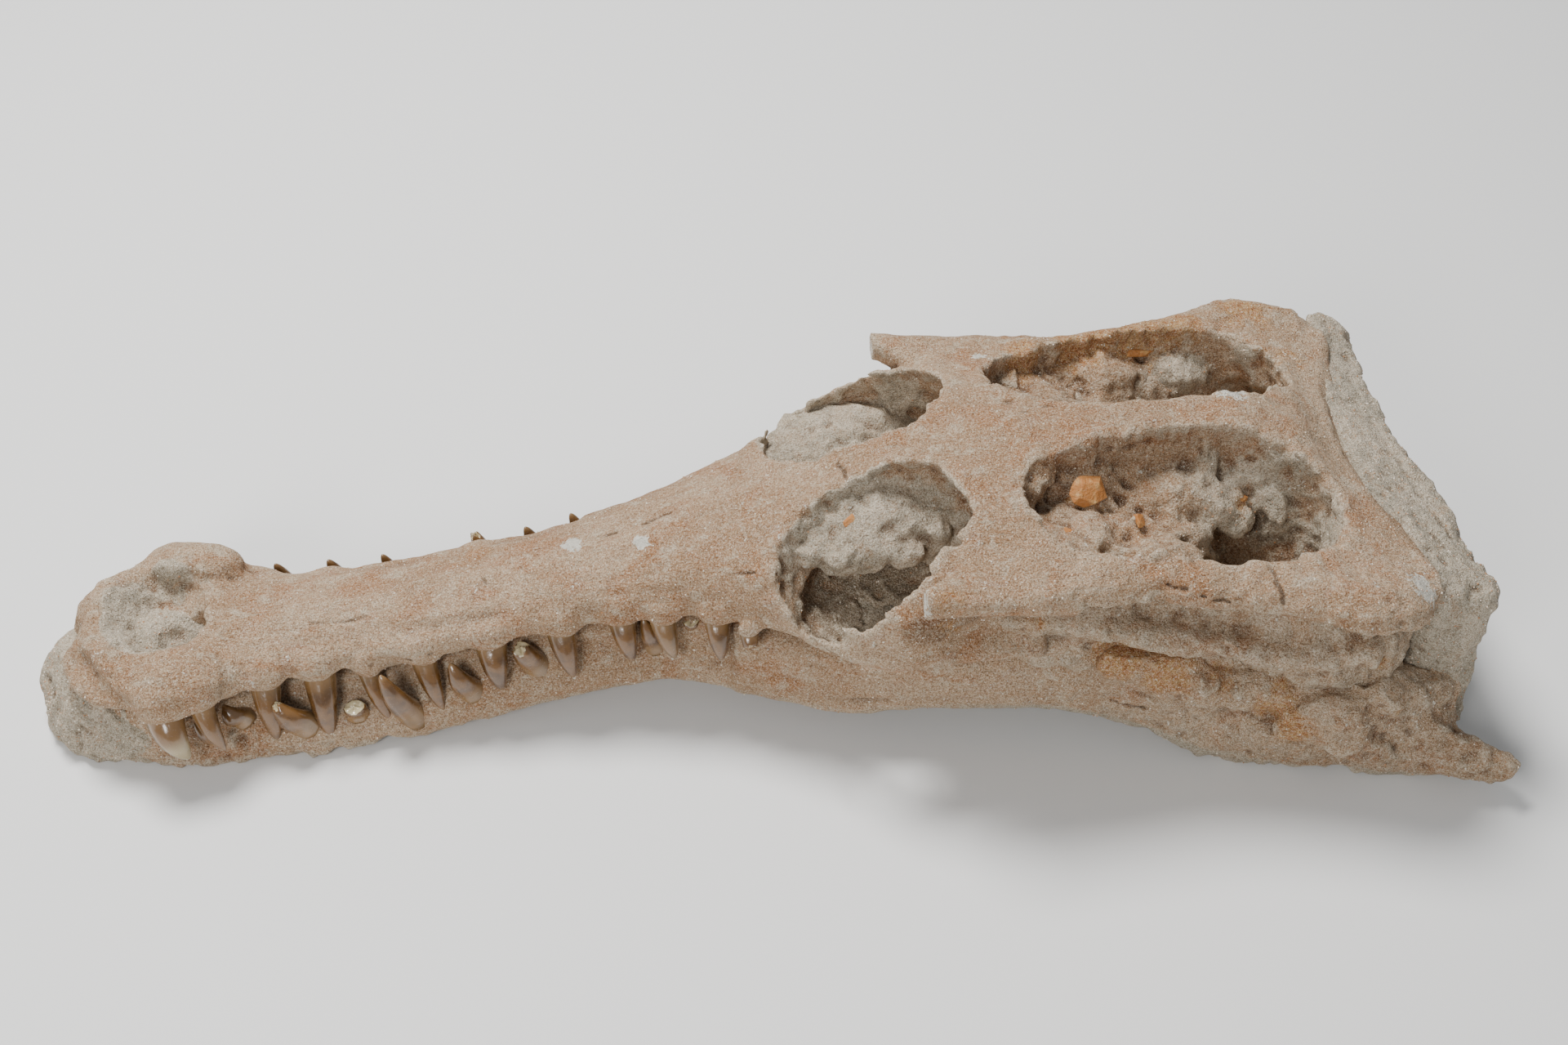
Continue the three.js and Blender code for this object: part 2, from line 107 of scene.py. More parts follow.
midline = profile((-260, 0), (-131, 1.5), (-50, 5), (0, 2), (40, 0))
CHIN_BEND = 0.6  # how much of the muzzle's bend the lower jaw follows
muzzle_width = profile(
    (-343, 14), (-338, 27), (-326, 39), (-308, 46), (-288, 49), (-270, 44), (-252, 33), (-236, 30),
    (-150, 29), (-100, 30), (-75, 33), (-50, 39), (-20, 50), (0, 60), (22, 78), (45, 84), (108, 84),
)
muzzle_top = profile(
    (-343, 47), (-330, 57), (-305, 61), (-272, 59), (-212, 62), (-150, 71), (-79, 86), (-40, 98),
    (0, 112), (27, 122), (51, 133), (108, 138),
)
bite_line = profile(
    (-343, 37), (-270, 37), (-215, 34), (-175, 40), (-142, 46), (-108, 52), (-60, 59), (0, 62),
    (110, 60),
)
jaw_width = profile(
    (-334, 22), (-322, 36), (-300, 44), (-230, 46), (-188, 43), (-149, 38), (-110, 35), (-70, 36),
    (-30, 43), (8, 56), (46, 67), (86, 71), (124, 77), (160, 85), (196, 96), (235, 108), (262, 112),
    (280, 110), (302, 100),
)
jaw_floor = profile(
    (-334, 6), (-320, 0), (-185, 0), (-149, 6), (-110, 13), (-70, 17), (8, 18), (60, 24), (100, 24),
    (160, 14), (200, 4), (225, 0), (302, 0),
)
ramus_top = profile((-30, 58), (100, 58), (260, 59), (302, 50))
ramus_thickness = profile((-30, 20), (60, 24), (200, 30), (302, 30))
crest_height = profile((62, 132), (96, 138), (135, 143), (200, 143), (240, 132), (279, 116))
table_width = profile(
    (62, 66), (80, 84), (97, 94), (116, 91), (147, 89), (170, 93), (203, 103), (240, 116),
    (262, 112), (279, 96),
)
table_edge = profile((62, 123), (110, 124), (165, 123), (203, 121), (243, 117), (279, 111))
prong_middle = profile((49, 88), (62, 82.5), (82, 73), (116, 67))
prong_width = profile((49, 5.5), (62, 10.5), (82, 20), (116, 23))
prong_top = profile((49, 126), (82, 123), (116, 119))
fenestra_floor = profile((98, 118), (112, 108), (150, 104), (182, 96), (205, 78), (244, 84))


# ---------------------------------------------------------------- soft joins

def smooth_min(a, b, reach):
    """The lower of two fields, rounded where they are within reach of each other."""
    near = np.maximum(reach - np.abs(a - b), 0) / reach
    return np.minimum(a, b) - near * near * reach / 4


def smooth_cut(a, b, reach):
    """Field a with field b taken out of it, its edges rounded by reach."""
    return -smooth_min(-a, b, reach)


def bump(distance, width):
    """1 at no distance, falling off softly over the width."""
    return np.exp(-((distance / width) ** 2))


def step(value, low, high):
    """0 below low, 1 above high, smooth between."""
    t = np.clip((value - low) / (high - low), 0, 1)
    return t * t * (3 - 2 * t)


# ---------------------------------------------------------------- blocks of cubes

SPLINE_GAIN = 3.0  # brings the smoothed random numbers back to about unit size


class Block:
    """A box of space cut into cubes. A field is an array of distances to a surface, negative
    inside it. All blocks share one lattice, so that one can read another's field."""

    def __init__(self, low, high, cube):
        self.cube = cube
        self.first = np.floor(np.array(low) / cube).astype(int)
        self.shape = tuple(np.ceil(np.array(high) / cube).astype(int) - self.first)
        self.axes = [
            ((self.first[k] + np.arange(self.shape[k])) * cube).astype(np.float32) for k in range(3)
        ]
        self.x, self.y, self.z = np.meshgrid(*self.axes, indexing="ij", sparse=True)

    def near(self, low, high):
        """The slices of the block between two corners, and the coordinates there."""
        start = np.clip(np.floor(np.array(low) / self.cube).astype(int) - self.first, 0, self.shape)
        stop = np.clip(np.ceil(np.array(high) / self.cube).astype(int) - self.first, 0, self.shape)
        part = tuple(slice(a, b) for a, b in zip(start, stop))
        return part, [axis[cut] for axis, cut in zip(self.axes, part)]

    def level_set(self, points, quads, triangles, band=10):
        """The field of a closed mesh."""
        local = (points / self.cube - self.first).astype(np.float32)
        grid = openvdb.FloatGrid.createLevelSetFromPolygons(
            local, triangles=triangles.astype(np.uint32), quads=quads.astype(np.uint32),
            halfWidth=float(band),
        )
        field = np.zeros(self.shape, np.float32)
        grid.copyToArray(field)
        return field * self.cube

    def loft(self, start, stop, section, around=96, spacing=3.0):
        """The field of a body along X. section(x, turn) gives y and z and a shift along X."""
        count = int(math.ceil((stop - start) / spacing)) + 1
        x = np.linspace(start, stop, count)[:, None]
        turn = (np.arange(around) / around)[None, :]
        y, z, shift = section(x, turn)
        rings = np.stack(np.broadcast_arrays(x + shift, y, z), -1).reshape(-1, 3)
        ends = [rings[:around].mean(0), rings[-around:].mean(0)]
        ring = np.arange(around)
        after = np.roll(ring, -1)
        base = (np.arange(count - 1) * around)[:, None]
        corners = (base + ring, base + after, base + around + after, base + around + ring)
        quads = np.stack(corners, -1).reshape(-1, 4)
        last = (count - 1) * around
        first_cap = np.stack([np.full(around, len(rings)), after, ring], -1)
        last_cap = np.stack([np.full(around, len(rings) + 1), last + ring, last + after], -1)
        points = np.vstack([rings, ends])
        return self.level_set(points, quads, np.vstack([first_cap, last_cap]))

    def ball(self, centre, radii, place=None):
        """The field of a stretched ball. place may bend space before it is measured."""
        x, y, z = place or (self.x, self.y, self.z)
        p = [(v - c) / r for v, c, r in zip((x, y, z), centre, radii)]
        inner = np.sqrt(p[0] ** 2 + p[1] ** 2 + p[2] ** 2)
        slope = np.sqrt(sum((v / r) ** 2 for v, r in zip(p, radii))) + 1e-6
        return (inner * (inner - 1) / slope).astype(np.float32)

    def blob(self, field, centre, radii, reach=4.0, cut=False, turn=0.0):
        """Adds a stretched ball to the field with a soft join, or cuts it out. turn is about Z."""
        size = max(radii) + 2 * reach
        part, axes = self.near(np.array(centre) - size, np.array(centre) + size)
        if not all(len(axis) for axis in axes):
            return
        x, y, z = (v - c for v, c in zip(np.meshgrid(*axes, indexing="ij", sparse=True), centre))
        cos, sin = math.cos(turn), math.sin(turn)
        shape = self.ball((0, 0, 0), radii, (x * cos + y * sin, y * cos - x * sin, z))
        join = smooth_cut if cut else smooth_min
        field[part] = join(field[part], shape, reach)

    def along(self, points, margin):
        """The slices round a line of points, the distance to it there and how far along it is."""
        points = np.array(points, float)
        part, axes = self.near(points.min(0) - margin, points.max(0) + margin)
        x, y, z = np.meshgrid(*axes, indexing="ij", sparse=True)
        best = np.full([len(axis) for axis in axes], 1e6, np.float32)
        share = np.zeros_like(best)
        legs = np.linalg.norm(np.diff(points, axis=0), axis=1)
        gone = 0.0
        for a, b, leg in zip(points[:-1], points[1:], legs):
            d = (b - a) / leg
            t = np.clip((x - a[0]) * d[0] + (y - a[1]) * d[1] + (z - a[2]) * d[2], 0, leg)
            away = (x - a[0] - d[0] * t) ** 2 + (y - a[1] - d[1] * t) ** 2
            away = away + (z - a[2] - d[2] * t) ** 2
            closer = away < best
            best[closer] = away[closer]
            share[closer] = ((gone + t) / legs.sum())[closer]
            gone += leg
        return part, np.sqrt(best), share

    def ridge(self, field, points, width, height):
        """Raises the surface along a line, or sinks it with a negative height."""
        part, away, share = self.along(points, 3 * width)
        fade = np.sqrt(np.clip(np.minimum(share, 1 - share) * 8, 0.15, 1))
        field[part] -= height * fade * bump(away, width)

    def rod(self, field, points, radii, reach=4.0, cut=False):
        """Adds or cuts a rod along a line, its radius running between the two given."""
        part, away, share = self.along(points, max(radii) + 2 * reach)
        shape = away - (radii[0] + (radii[1] - radii[0]) * share)
        join = smooth_cut if cut else smooth_min
        field[part] = join(field[part], shape, reach)

    def noise(self, spacing, seed, stretch=(1, 1, 1)):
        """A smooth random field of about unit size, its bumps the given spacing apart."""
        weights = [spline_weights(a, spacing * s) for a, s in zip(self.axes, stretch)]
        random = np.random.default_rng(seed)
        lattice = random.standard_normal([w.shape[1] for w in weights]).astype(np.float32)
        for w in weights:
            lattice = np.tensordot(lattice, w, (0, 1))
        return lattice * SPLINE_GAIN

    def soften(self, field, width):
        """Rounds a field's edges off by about a width, whatever the size of the cubes."""
        return blur(field, int(round((width / self.cube) ** 2)))

    def read(self, other, field, outside=30.0):
        """Another block's field, as far as it covers this block."""
        result = np.full(self.shape, outside, np.float32)
        start = np.maximum(self.first, other.first)
        stop = np.minimum(self.first + self.shape, other.first + other.shape)
        mine = tuple(slice(a - f, b - f) for a, b, f in zip(start, stop, self.first))
        theirs = tuple(slice(a - f, b - f) for a, b, f in zip(start, stop, other.first))
        result[mine] = field[theirs]
        return result

    def sample(self, field, points):
        """A field's values at points, in mm, read between the cubes' centres."""
        local = points / self.cube - self.first
        local = np.clip(local, 0, np.array(self.shape) - 1.001)
        whole = local.astype(int)
        share = (local - whole).astype(np.float32)
        value = np.zeros(len(points), np.float32)
        for corner in range(8):
            offset = [corner >> k & 1 for k in range(3)]
            weights = [share[:, k] if offset[k] else 1 - share[:, k] for k in range(3)]
            value += np.prod(weights, axis=0) * field[tuple(whole[:, k] + offset[k] for k in range(3))]
        return value


def spline_weights(axis, spacing):
    """How much each point of a coarse line of random numbers counts at each place on an axis."""
    place = (axis - axis[0]) / spacing + 1
    count = int(place[-1]) + 3
    whole = place.astype(int)
    t = place - whole
    weights = np.zeros((len(axis), count), np.float32)
    rows = np.arange(len(axis))
    weights[rows, whole - 1] = (1 - t) ** 3 / 6
    weights[rows, whole] = (3 * t**3 - 6 * t**2 + 4) / 6
    weights[rows, whole + 1] = (-3 * t**3 + 3 * t**2 + 3 * t + 1) / 6
    weights[rows, whole + 2] = t**3 / 6
    return weights


def blur(field, rounds):
    """Softens a field by averaging neighbours along each axis a number of times."""
    for _ in range(rounds):
        for axis in range(3):
            field = np.swapaxes(field, 0, axis)
            inner = (field[:-2] + 2 * field[1:-1] + field[2:]) / 4
            field = np.concatenate([field[:1], inner, field[-1:]])
            field = np.swapaxes(field, 0, axis)
    return np.ascontiguousarray(field)


# ---------------------------------------------------------------- sections and cutters

def oval(turn, y, width, top, bottom, level, round_top, round_bottom):
    """An oval ring, with a roundness of its own above and below its widest level."""
    across, upward = -np.sin(2 * np.pi * turn), np.cos(2 * np.pi * turn)
    power = 2 / np.where(upward > 0, round_top, round_bottom)
    reach = np.where(upward > 0, top - level, level - bottom)
    ring_y = y + width * np.sign(across) * np.abs(across) ** power
    ring_z = level + reach * np.sign(upward) * np.abs(upward) ** power
    return ring_y, ring_z, np.zeros_like(ring_y)


def rostrum_section(x, turn):
    bite, top = bite_line(x), muzzle_top(x)
    return oval(turn, midline(x), muzzle_width(x), top, bite, bite + 0.38 * (top - bite), 2.3, 4)


def table_section(x, turn):
    """A half ring of corners from the crest over the outer bar to the palate, mirrored."""
    width, edge, crest, bite = table_width(x), table_edge(x), crest_height(x), bite_line(x)
    half = [
        (0, crest), (9, crest - 2), (26, (crest + edge) / 2 + 3), (52, edge + 2.5),
        (width - 14, edge + 1.5), (width - 3, edge - 3), (width - 1, edge - 11),
        (width - 12, edge - 18), (width - 26, TABLE_UNDERSIDE), (width - 34, bite + 0.5),
        (0, bite + 0.5),
    ]
    last = len(half) - 1
    corners = half + half[last - 1:0:-1]
    ring_y = np.concatenate(
        [(-1 if i <= last else 1) * (y + 0 * x) for i, (y, _) in enumerate(corners)], axis=1
    )
    ring_z = np.concatenate([z + 0 * x for _, z in corners], axis=1)
    place = turn[0] * len(corners)
    whole = place.astype(int)
    share = place - whole
    after = (whole + 1) % len(corners)
    y = ring_y[:, whole] * (1 - share) + ring_y[:, after] * share
    z = ring_z[:, whole] * (1 - share) + ring_z[:, after] * share
    near_back = np.clip((x - NOTCH_START) / (TABLE_BACK - NOTCH_START), 0, None)
    shift = -TABLE_NOTCH * near_back**2 * np.clip(1 - (y / NOTCH_WIDTH) ** 2, 0, None)
    return y, z, shift


def prong_section(side):
    def section(x, turn):
        top = prong_top(x)
        bottom = top - PRONG_THICKNESS - (x - PRONG_TIP) * 0.1
        level = top - PRONG_THICKNESS / 2
        return oval(turn, side * prong_middle(x), prong_width(x), top, bottom, level, 2.6, 2.4)

    return section


def fenestra_section(side):
    def section(x, turn):
        along = (x - FENESTRA_FRONT) / (FENESTRA_BACK - FENESTRA_FRONT)
        full = (FENESTRA_OUTER - FENESTRA_INNER) / 2 - 9 + 9 * along
        taper = np.sqrt(np.clip(1 - np.abs(2 * along - 1) ** 2.6, 0.06, None))
        y = side * ((FENESTRA_INNER + FENESTRA_OUTER) / 2 - 2 + 6 * along)
        return oval(turn, y, full * taper, 160, fenestra_floor(x), FENESTRA_RIM, 8, 2.6)

    return section


def orbit_field(block, side):
    """The eye opening looks up and outward, so its rim drops away from the midline."""
    x, out, z = ORBIT["centre"]
    upright = block.z + ORBIT["tilt"] * (np.abs(block.y) - out)
    return block.ball((x, side * out, z), ORBIT["radii"], (block.x, block.y, upright))


def symphysis_section(x, turn):
    top, floor = bite_line(x) - 1.2, jaw_floor(x)
    level = floor + 0.14 * (top - floor)
    ring = oval(turn, midline(x) * CHIN_BEND, jaw_width(x), top, floor - 1.5, level, 1.7, 4)
    return ring[0], np.maximum(ring[1], 0), ring[2]


def ramus_section(side):
    def section(x, turn):
        top, floor = np.minimum(ramus_top(x), bite_line(x) - 1.2), jaw_floor(x)
        thickness = ramus_thickness(x)
        y = side * (jaw_width(x) - thickness / 2)
        ring = oval(turn, y, thickness / 2, top, floor - 1.5, floor + 18, 2.4, 3.4)
        return ring[0], np.maximum(ring[1], 0), ring[2]

    return section


def spike_section(side):
    def section(x, turn):
        along = (x - SPIKE_ROOT) / (SPIKE_TIP - SPIKE_ROOT)
        y = side * (SPIKE_ROOT_OUT + (SPIKE_TIP_OUT - SPIKE_ROOT_OUT) * along)
        ring = oval(turn, y, 14 - 8 * along, 44 - 20 * along, 2 + 6 * along, 20 - 3 * along, 2, 2.2)
        return ring[0], np.maximum(ring[1], 0), ring[2]

    return section


# ---------------------------------------------------------------- teeth rows

# Each row: place along the jaw, height of the gum, crown length, root diameter, lean along X.
UPPER_LEFT = [
    (-294, 38, 21, 18, 0.4), (-277, 40, 21, 11.5, 0.39), (-250, 37, 26, 14, 0.1),
    (-225, 37, 30, 15, 0.07), (-202, 36, 24, 10.5, 0.32), (-176, 41, 24, 12, 0.28),
    (-144, 47, 21, 14.5, 0.15), (-111, 53, 22, 13.5, 0.2), (-82, 57, 19, 13, 0.2),
    (-63, 60, 18, 12, 0.26), (-38, 63, 18, 12, 0.05), (-24, 63, 11, 8.5, 0.05),
]
LOWER_LEFT = [
    (-276, 14, 14, 10.5, -0.6), (-264, 22, 12, 13, -0.7), (-236, 18, 19, 15, -0.6),
    (-210, 20, 12, 12, -0.05), (-186, 18, 28, 14, -0.34), (-157, 25, 19, 13.5, -0.34),
    (-125, 34, 22, 14, -0.4), (-68, 41, 17, 11, -0.24), (-49, 49, 14, 10, -0.14),
    (-14, 54, 9, 13.5, -0.4),
]
LOWER_RIGHT = [
    (-243, 20, 24, 12.5, -0.3), (-217, 19, 25, 13, -0.3), (-190, 20, 26, 12, -0.3),
    (-143, 30, 31, 13.5, -0.3), (-118, 37, 27, 13, -0.3), (-95, 41, 29, 12.5, -0.3),
    (-73, 43, 26, 12, -0.3), (-50, 46, 18, 11, -0.24), (-31, 49, 14, 10, -0.14),
]
UPPER_RIGHT = [
    (x + (3 if i % 2 else -4), z, length * (0.94 if i % 3 else 1.05), thick, lean * 0.8)
    for i, (x, z, length, thick, lean) in enumerate(UPPER_LEFT)
]
# How much of a crown is left, by kind, and the teeth that aren't whole.
CROWN_CUTS = (1.0, 0.42, 0.66, 0.9)
BROKEN = {
    ("lower_left", 2): 3, ("lower_left", 3): 1, ("lower_left", 6): 2, ("lower_left", 8): 1,
    ("upper_left", 11): 1, ("upper_right", 4): 2, ("lower_right", 3): 3,
}
OLIVE = {("upper_left", 0): 0.9, ("upper_left", 9): 0.25}
# How far a row stands out of the bone, and which crowns stand further out than their row.
ROW_OUT = {"upper_left": 1.5, "upper_right": 1.5, "lower_left": 0.5, "lower_right": 3.5}
STAND_OUT = {
    ("upper_left", 9): 2, ("upper_left", 11): 4, ("lower_left", 8): 2, ("lower_left", 9): 5,
    ("lower_right", 3): 2, ("lower_right", 4): 2, ("lower_right", 5): 2,
}
SPLAY = {"upper_left": 0.5, "upper_right": 0.5, "lower_left": 0.08, "lower_right": 0.24}


def flank(x, z):
    """How far out the jaw's side is at a height."""
    rise = (z - jaw_floor(x)) / (bite_line(x) - jaw_floor(x))
    return jaw_width(x) * (1 - np.maximum(0, rise - 0.14) ** 1.7) ** (1 / 1.7)


def tooth_places():
    """Every tooth as a dict of its root's place and its crown's sizes."""
    rows = (
        ("upper_left", UPPER_LEFT, LEFT), ("upper_right", UPPER_RIGHT, RIGHT),
        ("lower_left", LOWER_LEFT, LEFT), ("lower_right", LOWER_RIGHT, RIGHT),
    )
    places = []
    for name, row, side in rows:
        upper = name.startswith("upper")
        for i, (x, z, length, thick, lean) in enumerate(row):
            if upper:
                out = float(muzzle_width(x) + side * midline(x)) - GUM_DEPTH_UPPER
            else:
                out = float(flank(x, z) + side * midline(x) * CHIN_BEND) - GUM_DEPTH_LOWER
            out += ROW_OUT[name] + STAND_OUT.get((name, i), 0)
            stretch = UPPER_STRETCH if upper else LOWER_STRETCH
            places.append({
                "root": (x, side * out, z), "length": length * stretch, "radius": thick / 2,
                "side": side, "upright": -1 if upper else 1, "lean": lean, "splay": SPLAY[name],
                "kind": BROKEN.get((name, i), 0), "tint": OLIVE.get((name, i), 0.0), "upper": upper,
            })
    return places


# ---------------------------------------------------------------- the bone of the cranium

# Two corners of the block of cubes that each of the big forms is modelled in.
CRANIUM_LOW, CRANIUM_HIGH = (-350, -124, 28), (292, 124, 152)
JAW_LOW, JAW_HIGH = (-340, -132, -4), (326, 132, 70)
# The recess under the free bar: the line that it follows, and its radius at both ends.
UNDER_PRONG = [(44, 97, 101), (70, 92, 98), (118, 88, 94), (142, 95, 95)]
UNDER_PRONG_RADII = (12, 13)


def on_side(points, side):
    """Points given by their distance from the midline, put on one side of it."""
    return [(x, side * out, z) for x, out, z in points]


def cranium_forms(block):
    """The main forms of the cranium, and the fields of its openings."""
    bone = block.loft(MUZZLE_TIP, MUZZLE_BACK, rostrum_section)
    table = block.loft(TABLE_FRONT, TABLE_BACK, table_section, around=160)
    bone = smooth_min(bone, table, 10)
    bone = block.soften(bone, CRANIUM_SOFTNESS)
    orbits = [orbit_field(block, side) for side in (LEFT, RIGHT)]
    holes = [
        block.loft(FENESTRA_FRONT, FENESTRA_BACK, fenestra_section(side)) for side in (LEFT, RIGHT)
    ]
    naris = block.ball(NARIS["centre"], NARIS["radii"])
    for side in (LEFT, RIGHT):
        bone = smooth_cut(bone, block.ball((102, side * 94, 88), (48, 23, 19)), 6)
    orbit, hole = np.minimum(*orbits), np.minimum(*holes)
    bone = bone - 1.3 * bump(orbit - 4, 5) - 1.1 * bump(hole - 4, 5) - 0.8 * bump(naris - 4, 5)
    for opening, edge in ((orbit, 2.2), (hole, 3.0), (naris, 8)):
        bone = smooth_cut(bone, opening, edge)
    hollow_out(block, bone, orbit, hole)
    for side in (LEFT, RIGHT):
        block.rod(bone, on_side(UNDER_PRONG, side), UNDER_PRONG_RADII, 2.5, cut=True)
    for side in (LEFT, RIGHT):
        prong = block.loft(PRONG_TIP, PRONG_ROOT, prong_section(side))
        bone = smooth_min(bone, prong, 3)
        orbit = np.maximum(orbit, 2 - prong)
    return bone, {"orbit": orbit, "hole": hole, "naris": naris}


def hollow_out(block, bone, orbit, hole):
    """The deep dark parts of the openings, where the rock has been dug out."""
    deep = np.minimum(
        block.ball((34, -50, 83), (37, 26, 22)), block.ball((36, -40, 76), (36, 30, 14))
    )
    bone[...] = smooth_cut(bone, deep, 3)
    orbit[...] = np.minimum(orbit, deep)
    for side in (LEFT, RIGHT):
        for line, radii in (
            ([(188, side * 54, 86), (232, side * 62, 84)], (13, 14)),
            ([(206, side * 38, 84), (234, side * 56, 84)], (10, 12)),
        ):
            block.rod(bone, line, radii, 4, cut=True)
            block.rod(hole, line, radii, 4)


def alveoli(block, bone):
    """Each upper tooth stands in a swelling of the muzzle's lip, with a dip between two."""
    random = np.random.default_rng(7)
    for tooth in tooth_places():
        if not tooth["upper"]:
            continue
        x, y, z = tooth["root"]
        r = tooth["radius"]
        out = y + tooth["side"] * 1.5
        block.blob(bone, (x, out, z + r * 1.05), (r * 1.25, r * 0.8, r * 1.05), 6)
        gap = random.uniform(1.6, 2.2)
        dip = (x + r * gap, y + tooth["side"] * 3, z - 1.5)
        block.blob(bone, dip, (r * 0.8, r, r * 0.6), 5, cut=True)


# Broken lines in the bone, sunk and darkened: the points of each, and its width.
CRANIUM_CRACK_LINES = [
    ([(25, -9, 122), (24, -4, 122), (22, 3, 121)], 1.3),
    ([(199, -86, 125), (201, -92, 123), (203, -98, 119), (204, -101, 110)], 1.2),
    ([(-200, -31, 46), (-186, -31, 48), (-170, -31, 51), (-152, -31, 53)], 1.1),
    ([(-238, -12, 61), (-210, -15, 60), (-182, -13, 66)], 0.9),
    ([(-147, -14, 72), (-144, -9, 73), (-147, -4, 74)], 1.2),
    ([(-160, -12, 70), (-147, -12, 72)], 1.0),
    ([(-226, -22, 57), (-190, -24, 58), (-160, -25, 62)], 0.9),
    ([(-120, 6, 78), (-80, 4, 86), (-52, 8, 93)], 0.9),
    ([(-30, -34, 92), (-8, -42, 98)], 1.0),
    ([(108, 8, 141), (121, 12, 141), (128, 9, 142)], 1.2),
    ([(262, 20, 112), (259, -8, 112)], 0.9),
    ([(226, -20, 132), (240, -38, 124), (246, -52, 117)], 1.0),
    ([(150, -84, 121), (166, -90, 116), (184, -95, 112)], 1.1),
    ([(60, 12, 133), (76, 20, 133), (92, 28, 134)], 0.9),
]
JAW_CRACK_LINES = [
    ([(-60, -35, 25), (-31, -43, 25), (6, -58, 28), (43, -67, 33)], 1.1),
    ([(100, -76, 44), (130, -80, 40), (160, -84, 34)], 0.9),
    ([(205, -96, 60), (222, -104, 50), (232, -108, 40)], 1.2),
]
# Patches of colour: centre, radius and strength.
ORANGE_SPOTS = [
    ((132, -22, 112), 12, 0.9), ((150, 84, 122), 22, 1.0), ((182, 82, 122), 20, 1.0),
    ((120, 70, 122), 16, 0.8), ((30, -14, 100), 6, 0.9), ((140, -80, 68), 15, 1.0),
    ((163, -82, 60), 17, 1.0), ((186, -84, 52), 14, 0.8), ((212, -96, 48), 14, 0.9),
    ((222, -104, 38), 14, 1.0), ((255, -96, 74), 9, 0.9), ((264, -106, 52), 8, 0.8),
    ((240, 100, 118), 26, 0.7), ((200, 88, 120), 20, 0.8), ((204, -24, 104), 12, 0.6),
    ((165, -20, 122), 10, 0.6), ((58, -88, 122), 12, 0.5), ((-296, 12, 57), 14, 0.4),
    ((100, -84, 92), 16, 0.7), ((250, 60, 116), 18, 0.5), ((-150, 16, 70), 22, 0.4),
    ((228, -50, 92), 14, 0.5), ((-60, -20, 88), 20, 0.35), ((270, -60, 108), 16, 0.4),
    # The first two spots here, under the left free bar, give its recess a reddish stain and, in part,
    # painted shade.
    ((64, -82, 96), 12, 0.6), ((86, -80, 94), 10, 0.5), ((190, 12, 136), 10, 0.4),
    ((150, -50, 110), 16, 0.45),
]
CHALK_SPOTS = [
    ((-103, 3, 81), 5.5, 1.0), ((-70, -6, 89), 4, 1.0), ((266, -94, 110), 9, 1.0),
    ((98, 64, 127), 4, 1.0), ((206, 12, 142), 8, 1.0), ((-280, 38, 63), 3, 1.0),
    ((46, -88, 119), 6.5, 1.0), ((46, 88, 119), 6.5, 1.0),
]


def jagged(line, seed):
    """A line with stray points between every two, so that a crack doesn't run straight."""
    random = np.random.default_rng(seed)
    line = [np.array(point, float) for point in line]
    result = [line[0]]
    for a, b in zip(line[:-1], line[1:]):
        for share in (0.25, 0.5, 0.75):
            result.append(a + (b - a) * share + random.uniform(-CRACK_STRAY, CRACK_STRAY, 3))
        result.append(b)
    return result


def jagged_lines(rows):
    return [(jagged(line, seed), width * CRACK_SHARE) for seed, (line, width) in enumerate(rows)]


CRANIUM_CRACKS, JAW_CRACKS = jagged_lines(CRANIUM_CRACK_LINES), jagged_lines(JAW_CRACK_LINES)


# Low ridges of the cranium, and grooves with a height below 0, on both sides alike.
BOTH_SIDES_RIDGES = (
    # The outer bar's rounded edge, and the corner of the table.
    ([(118, 92, 112), (165, 93, 110), (205, 103, 108)], 7, 2.0),
    ([(196, 88, 122), (240, 100, 119), (270, 92, 114)], 9, 2.2),
    ([(186, 92, 106), (225, 108, 104), (255, 106, 102)], 5, -2.5),
    # The thin edge of the jugal under the eye opening, and the recess behind it.
    ([(0, 66, 78), (30, 82, 80), (62, 84, 76)], 4, 2.6),
    ([(60, 80, 88), (84, 78, 88), (112, 78, 96)], 8, -2.0),
    # Along the crest the inner walls break in steps.
    ([(116, 9, 138), (160, 7, 139), (200, 10, 138)], 2.4, 1.2),
    ([(112, 11, 132), (160, 10, 132), (204, 14, 130)], 2.6, -1.6),
    ([(40, 12, 126), (66, 16, 127), (80, 30, 128)], 5, -1.4),
)
# Long low ridges and grooves down the muzzle.
MUZZLE_RIDGES = (
    ([(-262, -8, 61), (-200, -6, 64), (-120, -4, 77), (-40, 0, 98)], 8, 1.5),
    ([(-235, -22, 54), (-190, -22, 58), (-130, -22, 66)], 4, -1.5),
    ([(-232, 20, 56), (-150, 21, 64), (-90, 22, 76)], 4, -1.3),
    ([(-200, -29, 50), (-176, -29, 54), (-148, -28, 57)], 4, 1.6),
    ([(-60, -30, 76), (-30, -36, 86), (-6, -50, 92)], 7, -1.6),
    ([(-30, -22, 100), (0, -24, 110), (20, -22, 118)], 7, -1.8),
    ([(-30, 26, 98), (0, 24, 110), (24, 24, 118)], 7, -1.6),
)
